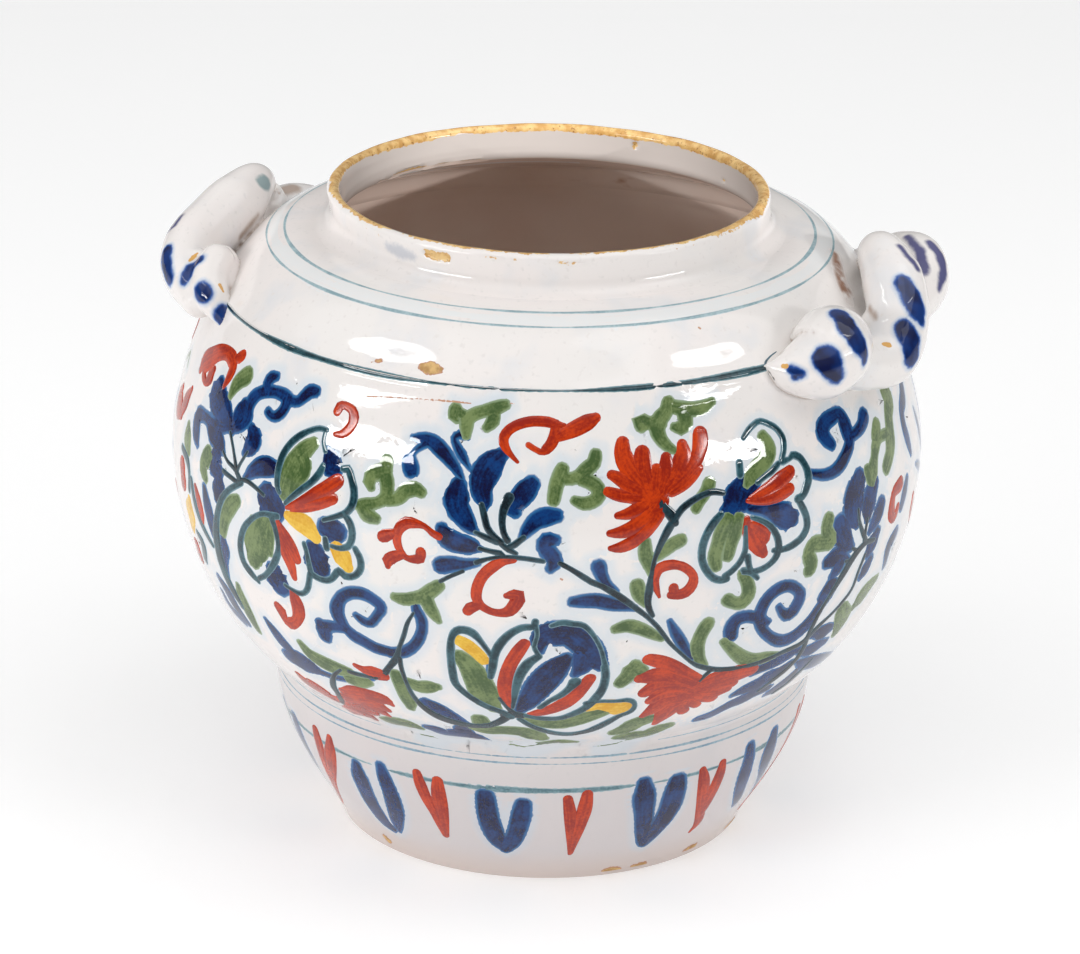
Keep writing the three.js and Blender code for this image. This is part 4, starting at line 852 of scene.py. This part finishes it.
  48.1 101.2 1.4  46.5 100.1 1.3  44.6 100 1.2  43.2 101 1.1
R 43.9 114.2 1.7  44.1 111.6 3.4  44.9 108.5 3.8  46.1 105.7 3.2  46.7 104.4 2.1
R 44.5 112.5 2.5  46 110.5 3.3  47 108.9 2.9  46.7 107.4 1.6
O 43.4 100.4 1.1  44.6 100 1.5  45.9 97.8 0.8
O 43.9 104.3 1.5  44.2 102 1.2  44.6 100 1.2
O 39.6 116.7 1.4  38.3 114.8 1.7  37.1 112 1.7  36.4 108.8 1.7  36.4 105.7 1.6  37.1 102.8 1.5
  38.3 100.3 1.5  39.6 99.3 1.4  40.6 99.3 1.2
O 43.6 112.3 1.2  43.6 109.2 1.2  43.4 106.1 1.2  42.6 103.4 1.3  41.3 101.3 1.3  40.2 100.3 1.3
G 40.7 115.1 2.9  39.6 112.1 3.2  38.9 109 2.9  38.4 105.9 2.9  38.7 103.5 2.2
G 42.5 114.9 2.4  41.8 111.8 3  41 108.7 2.7  40.6 105.9 2.4
G 43.4 99.8 2.7  44.2 97 2.6  44.6 94 3.1  43.8 91.7 3.2  42.2 92 2.3  41.1 93.2 2.6
# blue scroll top right
B 62.2 126.6 2.7  61.2 128.5 3.6  60.9 130.6 4.5  62 132.2 4  64 132.8 3.5  65.6 132.9 2.9
  66.3 130.4 4.1  66.6 127.7 4.3  66.6 125.2 3.4  65.3 123 3.2  63.7 121.2 3.3  61.8 120 2.8
  59.5 120 2.3  57.2 121.1 1.8  56.5 121.9 1.1
B 66.9 126.3 2.5  68.9 126.7 2.8  70.7 127.6 3.4  71.8 129.1 4.2
# far right green and blue
G 81.1 131.7 4.6  81.4 128.7 4.8  80 125.8 3.9  79.2 122.6 3.9  78.5 119.5 4.5  77.4 116.7 3.7
  75.8 114.4 3.5
G 78.1 121.9 2  75.1 122.3 2.1  73.4 120.9 3.1  72.4 118.3 2.6  71.2 115.2 4.1  70.7 113.4 3.1
G 75 125.3 3.2  74 123.2 3.2
G 69.9 116.2 2.4  70.1 113.7 2
B 89.4 128.4 3.1  88.1 125.9 3.9  85.8 123.7 3.1  85.2 120.1 3.1  85.8 115.7 3.1  86.6 111.9 1.6
B 67.4 115 5.4  66.1 112.5 7.2  65.4 109.5 7.8  65.6 106.1 6.3  66.4 103.8 2.6
B 71.1 112.1 4.7  70 109.5 5.8  69.4 106.6 5.9  69.2 103.9 2.8
B 73.1 105.1 4.4  72.3 102.8 5  70.9 100.7 3.6  70.2 99.5 1.8
B 62.1 105.7 4.9  62.7 102.9 6.4  63.9 99.8 5  65.4 97.6 2.2
B 60 96.4 3.7  61.6 96.8 5.4  63.3 96.2 3.2  65.5 93.6 1.4
B 62.9 93.8 4.1  62.2 92.5 3.6  61.4 91.4 2
B 72.6 97.5 3.4  71.7 95.5 5.4  70.8 93.4 3.4
B 71.9 90.2 3  71.1 88.3 4.4  70.1 86.6 2.2
S 66.6 107.5 0.9  67 104 1  68.1 100.4 1.4  69.3 97.5 1.5
S 69.2 103.4 1.1  68.9 100.2 1.1  68.9 97.9 1.7
S 72.2 96 1  69.7 96.7 1.6  67.6 95.6 2.2  65.8 93.4 2.8  64.5 90.7 2.8  63.1 87.6 2.2
  61.8 84.5 1.7  60.6 80.6 1.7  59.9 75.4 1.8  59.9 73.2 1.8
S 65.7 97.1 0.8  67.3 95.7 0.8
S 65.8 93.4 1  64.4 94.2 1
S 69.8 92.9 1.3  68.9 88.7 1.3  68.3 83.8 1.4  66.4 80.7 1.4  63.8 77.9 1.3  61.5 75.8 1.9
  59.9 73.2 1.9
R 80.6 106.7 3.7  78.1 106 2.9  77.4 103.6 3.1  77.4 100.6 3.8  79 98.2 2.3  79.9 100.5 2.3
B 83.6 106 2.3  82.8 103.2 3.9  81.8 100.1 3.1
B 80.7 92.3 3.9  79.1 90.4 4.7  79.1 87.2 3.1  79.6 84.2 2.3
G 77.2 81.3 2.3  75 80.3 4.7  73 78.5 5.5  71.8 76.8 2.3
G 67.5 77.6 4.6  69.2 73.5 6.2  69.2 70.3 3.1
# green sprig right
G 59.4 108.1 3.2  59 105.6 3.1  60.2 102.2 3.9  58.4 102.5 3.2  56.3 103 3.4  55.4 100.6 3.1
  56.2 97.7 3.4  56.1 96.4 3.7
G 59.8 101.6 2.7  57.4 102.5 3
# blue spiral lower right
B 50.8 87.5 1.4  51.9 85.2 2.1  53.5 84.2 3.9  54.4 85.8 4.1  54.8 88.6 3.4  54.3 90.6 2.5
  52.5 92.9 2.6  50.5 93.2 3.3  48.8 91.9 3.5  47.7 89.4 3.5  47.4 86.2 3.2  48.3 82.2 2.5
  50.5 78.5 2.4  53.3 75.9 3.3  55.8 75.9 4.2  57.8 77.7 4.5  59.3 80 4.5  60.4 83.1 3.9
  61.6 85.1 2.8
B 61.6 87.5 5.9  61.2 86.3 6
B 49.1 83.4 2.2  46.9 85.8 2.6  44.8 87 3.1  43.1 86.4 3.8  42.5 83.9 3.8  42.9 81.6 3
B 66.1 73.1 3  64.3 72.9 5.3  62.4 73.7 3.5  60.4 73.9 1.7
# lower right sprays
B 50 67 2.3  51.7 68.2 4  54.1 69.1 5.3  56.5 69.8 4.9  58.7 70.3 2.5
B 66.6 68.4 2.3  64.1 68.2 4.7  61.7 68.3 4  59.1 69.7 2
B 79.9 56.1 0.6  71 59.7 4.7  64.5 62.6 4.7  60.8 65.1 1.7
S 59.9 73.2 1.8  60.1 69.8 2  59.7 66.4 2.2  58.3 63.5 2.3  56.1 60.8 2.3  54.3 58.5 1.5
S 65.7 62.6 1.6  64.3 59.3 2.3  63 56.1 2.3  60.9 54 1.6
# carnation, right half
R 49.3 68 3.5  47 68.3 5.4  44.7 68.3 5.3  42.1 67.9 5.3  39.8 66.7 4.8
R 46.3 64.8 2.7  44 64.8 4.6  41.7 65 4.9  39.4 65.1 4.8
R 45.7 63 2.2  43.3 62.9 4.3  40.9 63.5 5
R 43.3 60.7 2.9  41 62.4 4.1  38.9 63.8 4.3
S 40.7 71.5 1.3  39.9 70.1 1.3  39.3 68.6 1.3
B 48 60.1 2  49.8 61.1 4  52.2 61.7 5.5  54.3 62.8 6.4  56.7 63.6 5.2  58.4 65.5 3
B 43.5 52.6 3.1  45.5 53 3.9  47.4 54.6 3.9  49.2 56.1 4.6  51.6 56.9 5.4  53.8 58 4.6  56.5 58 3.1
B 58.5 55.4 3.1  60.5 56.5 5.5  62 58.9 4.7  62.3 61.2 2.3
"""
SPRIG = """
G -1 64 1.8  -5 68 3.6  -9 74 3.6  -12 80 1.8
G 0 60 1.8  4.5 63 3.6  8.5 68 3.6  11.5 74 1.8
G 5.5 126 2.2  8 129 2.8  10 126.5 2
G -3 84 1.4  -4.6 88.5 2.4  -4.8 94 1.4
B 0 102 2  0 110 5.5  0.3 120 5  0.5 127 2.6
B -1.5 102 2  -4 109 4.6  -6 116 4  -7 120 2.4
B 1.5 102 2  4 109 4.6  6.2 115.5 4  7.2 119 2.4
B -2 100 1.8  -6 103 4  -9.5 106 3.4  -11 107 2.2
B 2 100 1.8  6 102.5 4  9.5 104.5 3.4  11.2 105 2.2
B -5 56 1.8  -8.5 57.5 2.8  -11.5 61 2.8  -13 65.5 1.8
B 12.5 83 1.8  14.5 86 2.4  13.8 90 2.4  11.6 89.6 1.8
R -8.5 90 3  -10 94 4.2  -10.8 98 2.6
R 7.5 86 3  9.2 90 4.2  10.2 94 2.6
R -3.5 131 2.2  -1 134.5 2.8  2.2 134 2.8  2.6 130.8 2.4
S 3 50 1.2  -1 66 1.3  -1.5 84 1.3  0 100 1.2
S -1.3 76 1  -5 84 1  -8.5 90 0.9
S -1.3 70 1  3.5 79 1  7.5 86 0.9
Y -1.2 98 3.4  1.4 98.2 3.4
"""


def brushed(bm, stroke, index, lift, spread=0.0, step=1.0, across=8, dome=0.003, slope=0.8):
    """Lays one stroke on the wall: a strip with rounded ends, a little raised in the middle."""
    radius = np.interp(run_at(stroke[:, 1].mean()), wall_run, wall_line[:, 0])
    degrees, heights, widths = stroke.T
    places = np.stack([np.radians(degrees) * radius, run_at(heights), widths / 2 + spread], 1)
    if len(places) == 1:
        places = np.vstack([places, places + (0.1, 0, 0)])
    ends = run_out(places)
    path = []
    for a, b, c, d in zip(ends, ends[1:], ends[2:], ends[3:]):
        t = np.arange(0, 1, 1 / max(1, round(np.hypot(*(c - b)[:2]) / step)))[:, None]
        path.append(flowing(a, b, c, d, t))
    path = np.vstack([*path, places[-1:]])
    path[:, 2] = np.maximum(path[:, 2], 0.12)
    far = np.concatenate([[0], np.cumsum(np.hypot(*np.diff(path[:, :2], axis=0).T))])
    aim = np.gradient(path[:, :2], axis=0)
    aim /= np.maximum(np.linalg.norm(aim, axis=1), 1e-9)[:, None]
    round_off = np.linspace(0, math.pi / 2, 4)
    first, last = path[0, 2], path[-1, 2]
    front_end, back_end = round_off[:-1], round_off[1:]
    stations = [-first * np.cos(front_end), far, far[-1] + last * np.sin(back_end)]
    stations = np.concatenate(stations)
    shrink = np.concatenate([np.sin(front_end), np.ones(len(far)), np.cos(back_end)])
    over = stations - np.clip(stations, 0, far[-1])
    column = [np.interp(stations, far, path[:, i]) for i in (0, 1, 2)]
    heading = np.stack([np.interp(stations, far, aim[:, i]) for i in (0, 1)], 1)
    heading /= np.maximum(np.linalg.norm(heading, axis=1), 1e-9)[:, None]
    middle = np.stack(column[:2], 1) + over[:, None] * heading
    half = np.maximum(column[2] * shrink, 0.01)

    size = {"x_segments": len(stations) - 1, "y_segments": across, "size": 1}
    made = bmesh.ops.create_grid(bm, **size)["verts"]
    flat = np.array([v.co for v in made])
    row = np.rint((flat[:, 0] + 1) / 2 * (len(stations) - 1)).astype(int)
    offset = np.sin(flat[:, 1] * math.pi / 2) * half[row]
    spot = middle[row] + offset[:, None] * np.stack([-heading[row, 1], heading[row, 0]], 1)
    along = stations[row]
    edge = np.minimum(half[row] - np.abs(offset), np.minimum(along + first, far[-1] + last - along))
    full = lift + EDGE_DEPTH + LAYER * (index % 6)
    rise = np.clip(edge / slope, 0, 1) * full - EDGE_DEPTH + dome * edge
    edge_layer = bm.verts.layers.float["edge"]
    grain_layer = bm.verts.layers.float_vector["grain"]
    raised = on_wall(np.degrees(spot[:, 0] / radius), spot[:, 1], rise)
    for v, p, e, s, o in zip(made, raised, edge, along, offset):
        v.co = p
        v[edge_layer] = e
        v[grain_layer] = (s, o, index * 7.3)
    line = on_wall(np.degrees(path[:, 0] / radius), path[:, 1], lift)
    return np.column_stack([line / MM, path[:, 2]])


def brushwork(name, strokes, lift, material, **how):
    """All strokes of one colour as one piece of the painting. Strokes that cross flow into
    one, so "edge" becomes how deep each point lies within all of them together."""
    bm = bmesh.new()
    edge_layer = bm.verts.layers.float.new("edge")
    bm.verts.layers.float_vector.new("grain")
    paths = [brushed(bm, stroke, index, lift, **how) for index, stroke in enumerate(strokes)]
    points = np.array([v.co for v in bm.verts]) / MM
    deep = np.array([v[edge_layer] for v in bm.verts])
    for path in [p for p in paths if len(p) < LONGEST_STROKE]:
        low, high = (path[:, :3] - path[:, 3:]).min(0), (path[:, :3] + path[:, 3:]).max(0)
        near = np.flatnonzero(((points > low) & (points < high)).all(1))
        deep[near] = np.maximum(deep[near], -gap_to(points[near], [path]))
    for v, value in zip(bm.verts, deep):
        v[edge_layer] = value
    bm.normal_update()
    flat = Vector((1, 1, 0))
    outward = sum(f.normal.dot(f.calc_center_median() * flat) for f in list(bm.faces)[:200])
    if outward < 0:
        bmesh.ops.reverse_faces(bm, faces=bm.faces)
    piece = finished(name, bm, material, crease=180)


def pigment(name, deep, thin, edge_tone, soft, roughness=0.03, streaks=0.35, halo=0.0):
    """A painted colour: deep where the brush was full, thin in its streaks, soft at its edge,
    and melting into a pale halo of this width in the white."""
    def colour_of(tree):
        grain = add(tree, "Attribute", {}, attribute_name="grain").outputs["Vector"]
        long = add(tree, "Mapping", {"Vector": grain, "Scale": (0.09, 1.3, 1)}).outputs[0]
        hair = add(tree, "TexNoise", {"Vector": long, "Scale": 1.0, "Detail": 3.0}).outputs[0]
        pool = add(tree, "TexNoise", {"Vector": grain, "Scale": 0.16, "Detail": 2.0}).outputs[0]
        hair = sums(tree, "MULTIPLY", hair, streaks)
        load = sums(tree, "ADD", hair, sums(tree, "MULTIPLY", pool, 1 - streaks))
        load = sums(tree, "ADD", load, uneven(tree, 1400, 2, 0.35))
        colour = blended(tree, rising(tree, load, 0.36, 0.66), deep, thin)
        fine = sums(tree, "MULTIPLY", clouds(tree, 1000, 2), 0.6)
        wander = sums(tree, "SUBTRACT", sums(tree, "ADD", clouds(tree, 240, 2), fine), 0.8)
        edge = sums(tree, "ADD", measured(tree, "edge"), sums(tree, "MULTIPLY", wander, 0.4))
        colour = blended(tree, rising(tree, edge, halo + soft, halo), colour, edge_tone)
        if halo:
            pale = blended(tree, 0.45, tin_white(tree), tone(184, 206, 224))
            colour = blended(tree, rising(tree, edge, halo, 0.1), colour, pale)
        return colour
    return glossy(name, colour_of, roughness)


def bloom(tree):
    """The pale blue that the metal colours leave in the glaze, strongest beside a stroke."""
    share = sums(tree, "MULTIPLY", rising(tree, measured(tree, "edge"), 1.7, 4.6), 0.4)
    return blended(tree, share, tin_white(tree), tone(188, 210, 225))


# How far each colour ran in the fire: its width times the first number, plus the second.
# B is blue, G green, Y yellow, R red, O an outline, S a stem and K a fine dark line.
SPREAD = {
    "B": (1.1, 1.9), "G": (1.15, 1.8), "Y": (1.1, 0.7), "R": (1.16, 0.5), "O": (1, 0.9),
    "S": (1, 0.6), "K": (1, 0.3),
}
painted = {}
for p, (times, plus) in SPREAD.items():
    front = [row * (1, 1, times) + (0, 0, plus) for row in table(FLOWERS, p, 3)]
    back = [row * (-1, 1, 1) + (2 * SIDE, 0, 0) for row in front]
    sprigs = [row + (turn, 0, 0) for row in table(SPRIG, p, 3) for turn in (SIDE, SIDE - 180)]
    painted[p] = front + back + sprigs
bleeding = painted["B"] + painted["G"] + painted["O"] + painted["S"]
bloom_glaze = glossy("cobalt_bloom", bloom)
THIN_WASH = {"step": 2.0, "dome": 0.001, "slope": 2.5}
brushwork("cobalt_bloom", bleeding, 0.015, bloom_glaze, spread=4.6, **THIN_WASH)
blue_tones = (tone(0, 8, 54), tone(2, 56, 116), tone(44, 102, 154))
blue = pigment("cobalt_blue", *blue_tones, 0.8, halo=0.8)
brushwork("blue_strokes", painted["B"], 0.035, blue)
green_tones = (tone(66, 90, 48), tone(116, 134, 84), tone(132, 152, 116))
green = pigment("copper_green", *green_tones, 0.6, halo=0.6)
brushwork("green_strokes", painted["G"], 0.055, green)
yellow_tones = (tone(212, 156, 20), tone(232, 190, 64), tone(226, 204, 130))
yellow = pigment("antimony_yellow", *yellow_tones, 0.4)
brushwork("yellow_strokes", painted["Y"], 0.075, yellow, slope=0.5)
red_tones = (tone(146, 28, 0), tone(198, 60, 2), tone(146, 34, 2))
red = pigment("iron_red", *red_tones, 0.25, roughness=0.14, streaks=0.5)
brushwork("red_strokes", painted["R"], 0.11, red, dome=0.012, slope=0.4)
stem_tones = (tone(12, 26, 34), tone(40, 66, 76), tone(96, 126, 140))
stem = pigment("dark_stems", *stem_tones, 0.5)
brushwork("dark_stems", painted["S"] + painted["K"], 0.13, stem, slope=0.4)
outline_tones = (tone(16, 48, 58), tone(52, 92, 102), tone(120, 154, 168))
outline = pigment("teal_outlines", *outline_tones, 0.6)
brushwork("teal_outlines", painted["O"], 0.145, outline, slope=0.4)


# Bands and foot marks. Thin lines run with the brush held still as the wheel turned: teal at
# the shoulder edge, two pale rings on the dome, two hairlines at the waist and one on the
# foot. Below it stand pairs of short strokes, red and blue in turn, all round the foot.
MARKS_TURN, LAST_MARK = 130.9, 46  # degrees that the row of marks spans, and that it ends at
RING_RADII = (69.8, 74.7)
FOOT_MARKS = """
B -30.1 30 4  -30.3 26 6.7  -30.4 20.9 6.9  -30.3 15.7 6.9  -29.4 11.1 6.2  -27.4 9 4
B -22.8 32.4 3.8  -22.4 28.7 5.5  -22 23.8 6.2  -22.6 18.3 6.5  -24.4 12.5 5  -25.3 9.1 2.3
R -13.7 33.6 2.8  -13.2 30 3.7  -12.4 25.5 3.6  -11.3 20.9 3.4  -10.6 16 3.1  -10.4 12.6 2.2
R -9 32.4 3.3  -9.2 28.2 4.4  -9.3 23.6 4.4  -9.5 18.5 3.3  -10.1 12.7 1.9
B 1.4 29.5 5.6  1.5 24.7 6.2  2 18.9 6.6  3.2 13.7 6.2  4.9 10.7 4.2
B 9.4 27.7 4.9  8.9 23.5 5.8  7.9 18.2 5.8  6.3 13.3 5.5  4.6 10.3 3.3
R 18.9 29.9 2.6  19.6 24.7 3.4  20.1 19.1 3.1  20.6 13.2 2.4  20.7 9.2 1.4
R 23 31.2 3  22.7 26.2 4  22.1 20.5 3.6  21.4 14.8 2.8  20.9 9.6 1.6
B 35.3 32.6 4.7  35.8 28.6 6.9  36.7 23.2 6.3  37.9 17 5.8  39.2 11.2 4.3
B 43.2 31.2 6.2  43.2 27.3 7.4  43.2 22.1 7.6  42.5 17.2 7.1  41.4 12.9 5.4  40.1 10.2 4.4
R 49.5 33 2.4  50.6 29.1 3.9  51.8 24 4.1  53.4 18.4 3.7  55.5 12.4 3.5  54.5 9.5 1.5
R 55 33.2 2.7  55 29.4 4  54.7 24.9 4.5  54.5 20.1 4.4  54.5 16.1 3.4
B 63.4 34.6 4.2  64.1 30 5.7  64.8 25.1 6.5  66.6 19.5 5.8  69.9 13.4 4.2
B 72.6 34.6 4.6  72.6 30.3 7.2  73.9 25.2 7.2  76.7 19.2 4.7  78.6 14.2 3.5  81.3 8.8 2.4
R -43.5 34.5 3.4  -43.3 31.3 4.5  -44 26.8 4  -45.4 21.2 3.2  -47.2 15.4 2.4  -52.1 6.9 1.6
R -38.1 34.7 2.7  -38.7 31 4.7  -41.3 25 5.5  -45.3 17.3 3.2  -50.1 8.9 1.6
"""
foot_blue, foot_red = (
    [
        row + (times * MARKS_TURN, 0, 0) for row in table(FOOT_MARKS, p, 3) for times in range(3)
        if times < 2 or row[:, 0].mean() < LAST_MARK
    ]
    for p in "BR"
)
brushwork("cobalt_bloom_foot", foot_blue, 0.015, bloom_glaze, spread=4.4, **THIN_WASH)
brushwork("foot_marks_blue", [row + (0, 0, 1) for row in foot_blue], 0.035, blue)
brushwork("foot_marks_red", foot_red, 0.11, red, dome=0.012, slope=0.4)


def band(height, width, wave=0.3):
    """A brushed line all round the pot, in lengths, as uneven as a hand on a turning wheel."""
    turns = np.linspace(-180, 180, 91)
    swing = np.radians(turns)
    heights = height + wave * np.sin(swing + 0.6) + 0.3 * wave * np.sin(3 * swing)
    widths = width * (1 + 0.25 * np.sin(5 * swing + height) + 0.15 * np.sin(17 * swing))
    return np.stack([turns, heights, widths], 1)


teal_tones = (tone(14, 42, 50), tone(44, 82, 92), tone(116, 150, 158))
dark_teal = pigment("dark_teal", *teal_tones, 0.55, halo=0.25)
brushwork("teal_shoulder_line", [band(148.6, 2.3)], 0.06, dark_teal, step=2.5)
dome_in, dome_up = shoulder_line[::-1].T
ring_heights = [np.interp(r, dome_in, dome_up) for r in RING_RADII]
ground_tones = (tone(229, 230, 230), tone(231, 230, 229), tone(235, 230, 227))
ring_ground = pigment("pale_ring_ground", *ground_tones, 1.2)
ground = [band(sum(ring_heights) / 2, 7, 0.05)]
brushwork("pale_ring_ground", ground, 0.02, ring_ground, step=2.5, dome=0.001, slope=2.5)
ring_tones = (tone(132, 160, 168), tone(170, 192, 198), tone(206, 216, 220))
ring_blue = pigment("pale_ring_blue", *ring_tones, 0.3)
rings = [band(z, 1.0, 0.05) for z in ring_heights]
brushwork("pale_shoulder_rings", rings, 0.06, ring_blue, step=2.5, across=6, slope=0.3)
hair_tones = (tone(120, 150, 170), tone(160, 184, 196), tone(200, 212, 220))
hair_blue = pigment("hairline_blue", *hair_tones, 0.2)
hairlines = [band(z, 0.7, 0.15) for z in (40.4, 42.2, 44.8)]
brushwork("waist_hairlines", hairlines, 0.025, hair_blue, step=2.5, slope=0.3)
foot_tones = (tone(70, 106, 116), tone(120, 152, 160), tone(168, 190, 196))
foot_teal = pigment("foot_line_teal", *foot_tones, 0.6, halo=0.25)
brushwork("foot_hairline", [band(32.2, 2.2)], 0.022, foot_teal, step=2.5)


# Bare spots. Small places on the shoulder edge and the foot where the glaze has chipped off
# in use and shows the rough ochre clay (C), a crack (K), and brown dust with painted shade
# in the crevice (D) by the right handle. Each row gives degrees, height and width, like a
# touch of the brush.
SPOTS = """
C -8.9 151.2 2.2  -7.3 151.2 4.2  -5.6 151.1 2.4
C -17.5 150.7 1.2  -16.6 150.9 1.6
C -18.2 150.3 0.6  -17.8 150.4 0.6
C 31.2 1.3 2.24  33.5 1.3 3.36  35.5 1.3 1.68
C 39.4 1.3 1.96  42.7 1.3 2.8
C 56.9 1.9 1.68  60.7 2.2 2.24
C 76.9 1.3 1.68  82.9 1.3 2.8
C -33.5 3.6 2.24  -32.7 2.8 2.8
C 24.6 133.3 0.7  24.7 133.2 0.7
C 15.5 103.1 0.9  15.6 103 0.9
C 7.1 145.4 0.6  7.8 145.3 0.5
C 42.4 159 0.8  42.6 158.8 0.8
D 95.6 160.7 1.6  88.8 158.6 3.2  85.2 155.9 3.6  83.6 153.6 2.2
D 86.6 155.3 1.4  86.2 154.6 1.6
K 56.1 151 0.3  54.2 150.4 0.5  52.5 149.3 0.7  52.4 147.3 0.5  53 145.4 0.3
C -17.2 142.7 0.5  -12.9 143.6 0.5  -7.7 144.3 0.6  -2.6 144.7 0.8  0.7 144.7 0.6
"""


def bare_clay(tree):
    """Ochre clay, paler where the glaze begins again round it."""
    patchy = rising(tree, clouds(tree, 500, 4), 0.35, 0.65)
    clay = blended(tree, patchy, tone(216, 178, 118), tone(176, 136, 84))
    torn = sums(tree, "ADD", measured(tree, "edge"), uneven(tree, 1100, 3, 1.4))
    clay = blended(tree, rising(tree, torn, 0.35, 0.7), tone(186, 140, 116), clay)
    return blended(tree, rising(tree, torn, 0.1, 0.25), tin_white(tree), clay)


def settled_dust_and_shade(tree):
    """Brown dust and painted crevice shade on the white glaze, in soft patches."""
    thick = rising(tree, measured(tree, "edge"), 0, 2.4)
    soft = sums(tree, "MULTIPLY", thick, rising(tree, clouds(tree, 260, 4), 0.3, 0.6))
    return blended(tree, soft, tin_white(tree), tone(150, 108, 84))


dust_and_shade = glossy("dust_and_shade", settled_dust_and_shade, 0.3)
# Painted shade as well as dust: brown laid in the crevice beside the right handle.
brushwork("dust_and_shade_by_handle", table(SPOTS, "D", 3), 0.02, dust_and_shade, spread=1.5, dome=0)
brushwork("crack_by_handle", table(SPOTS, "K", 3), 0.08, stem, step=0.5, slope=0.2)
clay = glossy("bare_clay", bare_clay, 0.75)
brushwork("bare_clay_spots", table(SPOTS, "C", 3), 0.06, clay, step=0.5, dome=0, slope=0.3)


# Studio. A pale seamless floor and a soft bright room. On each side a thin tilted lamp high
# up, a low strip and a thin line above it make the paired gleams on the shoulder and belly,
# large soft lamps fill the shade, and two narrow beams light the wall inside the mouth.
TURN, DISTANCE, TARGET = math.radians(13.1), 1.35, Vector((0, 0, 0.0915))
BEAM_RISE, BEAM_WIDTH, BEAM_END = 15.5, 2.6, (0.012, 0.036, 0.175)
LENS, SENSOR, PHOTO_WIDTH, ROLL = 168.17, 36, 1080, 1.0
floor_bm = bmesh.new()
bmesh.ops.create_grid(floor_bm, x_segments=2, y_segments=2, size=6)
floor_material = bpy.data.materials.new("pale_floor")
floor_material.use_nodes = True
paper = floor_material.node_tree.nodes["Principled BSDF"]
paper.inputs["Base Color"].default_value = tone(238, 238, 238)
paper.inputs["Roughness"].default_value = 0.8
paper.inputs["Emission Color"].default_value = (1, 1, 1, 1)
paper.inputs["Emission Strength"].default_value = 0.27
floor_mesh = bpy.data.meshes.new("floor")
floor_bm.to_mesh(floor_mesh)
floor_bm.free()
floor_mesh.materials.append(floor_material)
floor = bpy.data.objects.new("floor", floor_mesh)
bpy.context.scene.collection.objects.link(floor)

room = bpy.data.worlds.new("room")
room.use_nodes = True
air = room.node_tree
way = add(air, "TexCoord", {}).outputs["Generated"]
upward = rising(air, add(air, "SeparateXYZ", {0: way}).outputs[2], 0.1, 0.9)
sky = blended(air, upward, (0.16, 0.16, 0.16, 1), (0.6, 0.6, 0.6, 1))
air.links.new(sky, air.nodes["Background"].inputs["Color"])
bpy.context.scene.world = room
bpy.context.scene.view_settings.view_transform = "Standard"


def from_jar(turn_degrees, rise_degrees, distance):
    """A place in the room, turned from the camera's side towards its right."""
    turn, rise = TURN + math.radians(turn_degrees), math.radians(rise_degrees)
    level = math.cos(rise)
    aim = Vector((math.sin(turn) * level, -math.cos(turn) * level, math.sin(rise)))
    return TARGET + aim * distance


def softbox(name, turn, rise, distance, width, height, power, tilt=0, shape="RECTANGLE"):
    """A flat lamp that faces the jar, turned about its own middle by the tilt."""
    lamp = bpy.data.lights.new(name, "AREA")
    lamp.shape, lamp.size, lamp.size_y, lamp.energy = shape, width, height, power
    holder = bpy.data.objects.new(name, lamp)
    holder.location = from_jar(turn, rise, distance)
    aim = (TARGET - holder.location).to_track_quat("-Z", "Y").to_matrix().to_4x4()
    holder.rotation_euler = (aim @ Matrix.Rotation(math.radians(tilt), 4, "Z")).to_euler()
    bpy.context.scene.collection.objects.link(holder)


def snoot(name, turn, power):
    """A narrow beam in under the far side of the mouth, from one side of the camera."""
    lamp = bpy.data.lights.new(name, "SPOT")
    lamp.energy, lamp.spot_size = power, math.radians(BEAM_WIDTH)
    lamp.spot_blend, lamp.shadow_soft_size = 0.4, 0.02
    holder = bpy.data.objects.new(name, lamp)
    holder.location = from_jar(turn, BEAM_RISE, 1.5)
    across, away, up = BEAM_END
    spot = Matrix.Rotation(TURN, 3, "Z") @ Vector((math.copysign(across, turn), away, up))
    holder.rotation_euler = (spot - holder.location).to_track_quat("-Z", "Y").to_euler()
    bpy.context.scene.collection.objects.link(holder)


softbox("left_high", -72.5, 48.8, 1.5, 0.76, 0.055, 0.6, 29, "ELLIPSE")
softbox("right_high", 73.3, 48.7, 1.5, 0.58, 0.05, 0.45, -29, "ELLIPSE")
softbox("left_low", -55, 14.8, 1.5, 0.8, 0.125, 6.2, 8)
softbox("left_line", -57, 21.5, 1.5, 0.7, 0.025, 0.7, 10, "ELLIPSE")
softbox("right_low", 59, 13.6, 1.5, 0.56, 0.088, 3.3, -13)
softbox("right_line", 55.5, 23.1, 1.5, 0.6, 0.025, 0.6, -8, "ELLIPSE")
softbox("left_fill", -85, 44, 1.7, 1.3, 1.3, 2.8)
softbox("right_fill", 78, 60, 1.7, 1.3, 1.3, 5.8)
softbox("overhead", 0, 62, 1.7, 1.6, 1.6, 3.9)
snoot("left_mouth", -60, 40)
snoot("right_mouth", 60, 56)

camera = bpy.data.cameras.new("camera")
camera.lens, camera.sensor_width = LENS, SENSOR
camera.shift_x, camera.shift_y = -6 / PHOTO_WIDTH, 3 / PHOTO_WIDTH
camera_holder = bpy.data.objects.new("camera", camera)
camera_holder.location = from_jar(0, 20.9, DISTANCE)
view = (TARGET - camera_holder.location).to_track_quat("-Z", "Y").to_matrix().to_4x4()
camera_holder.rotation_euler = (view @ Matrix.Rotation(math.radians(ROLL), 4, "Z")).to_euler()
bpy.context.scene.collection.objects.link(camera_holder)
bpy.context.scene.camera = camera_holder
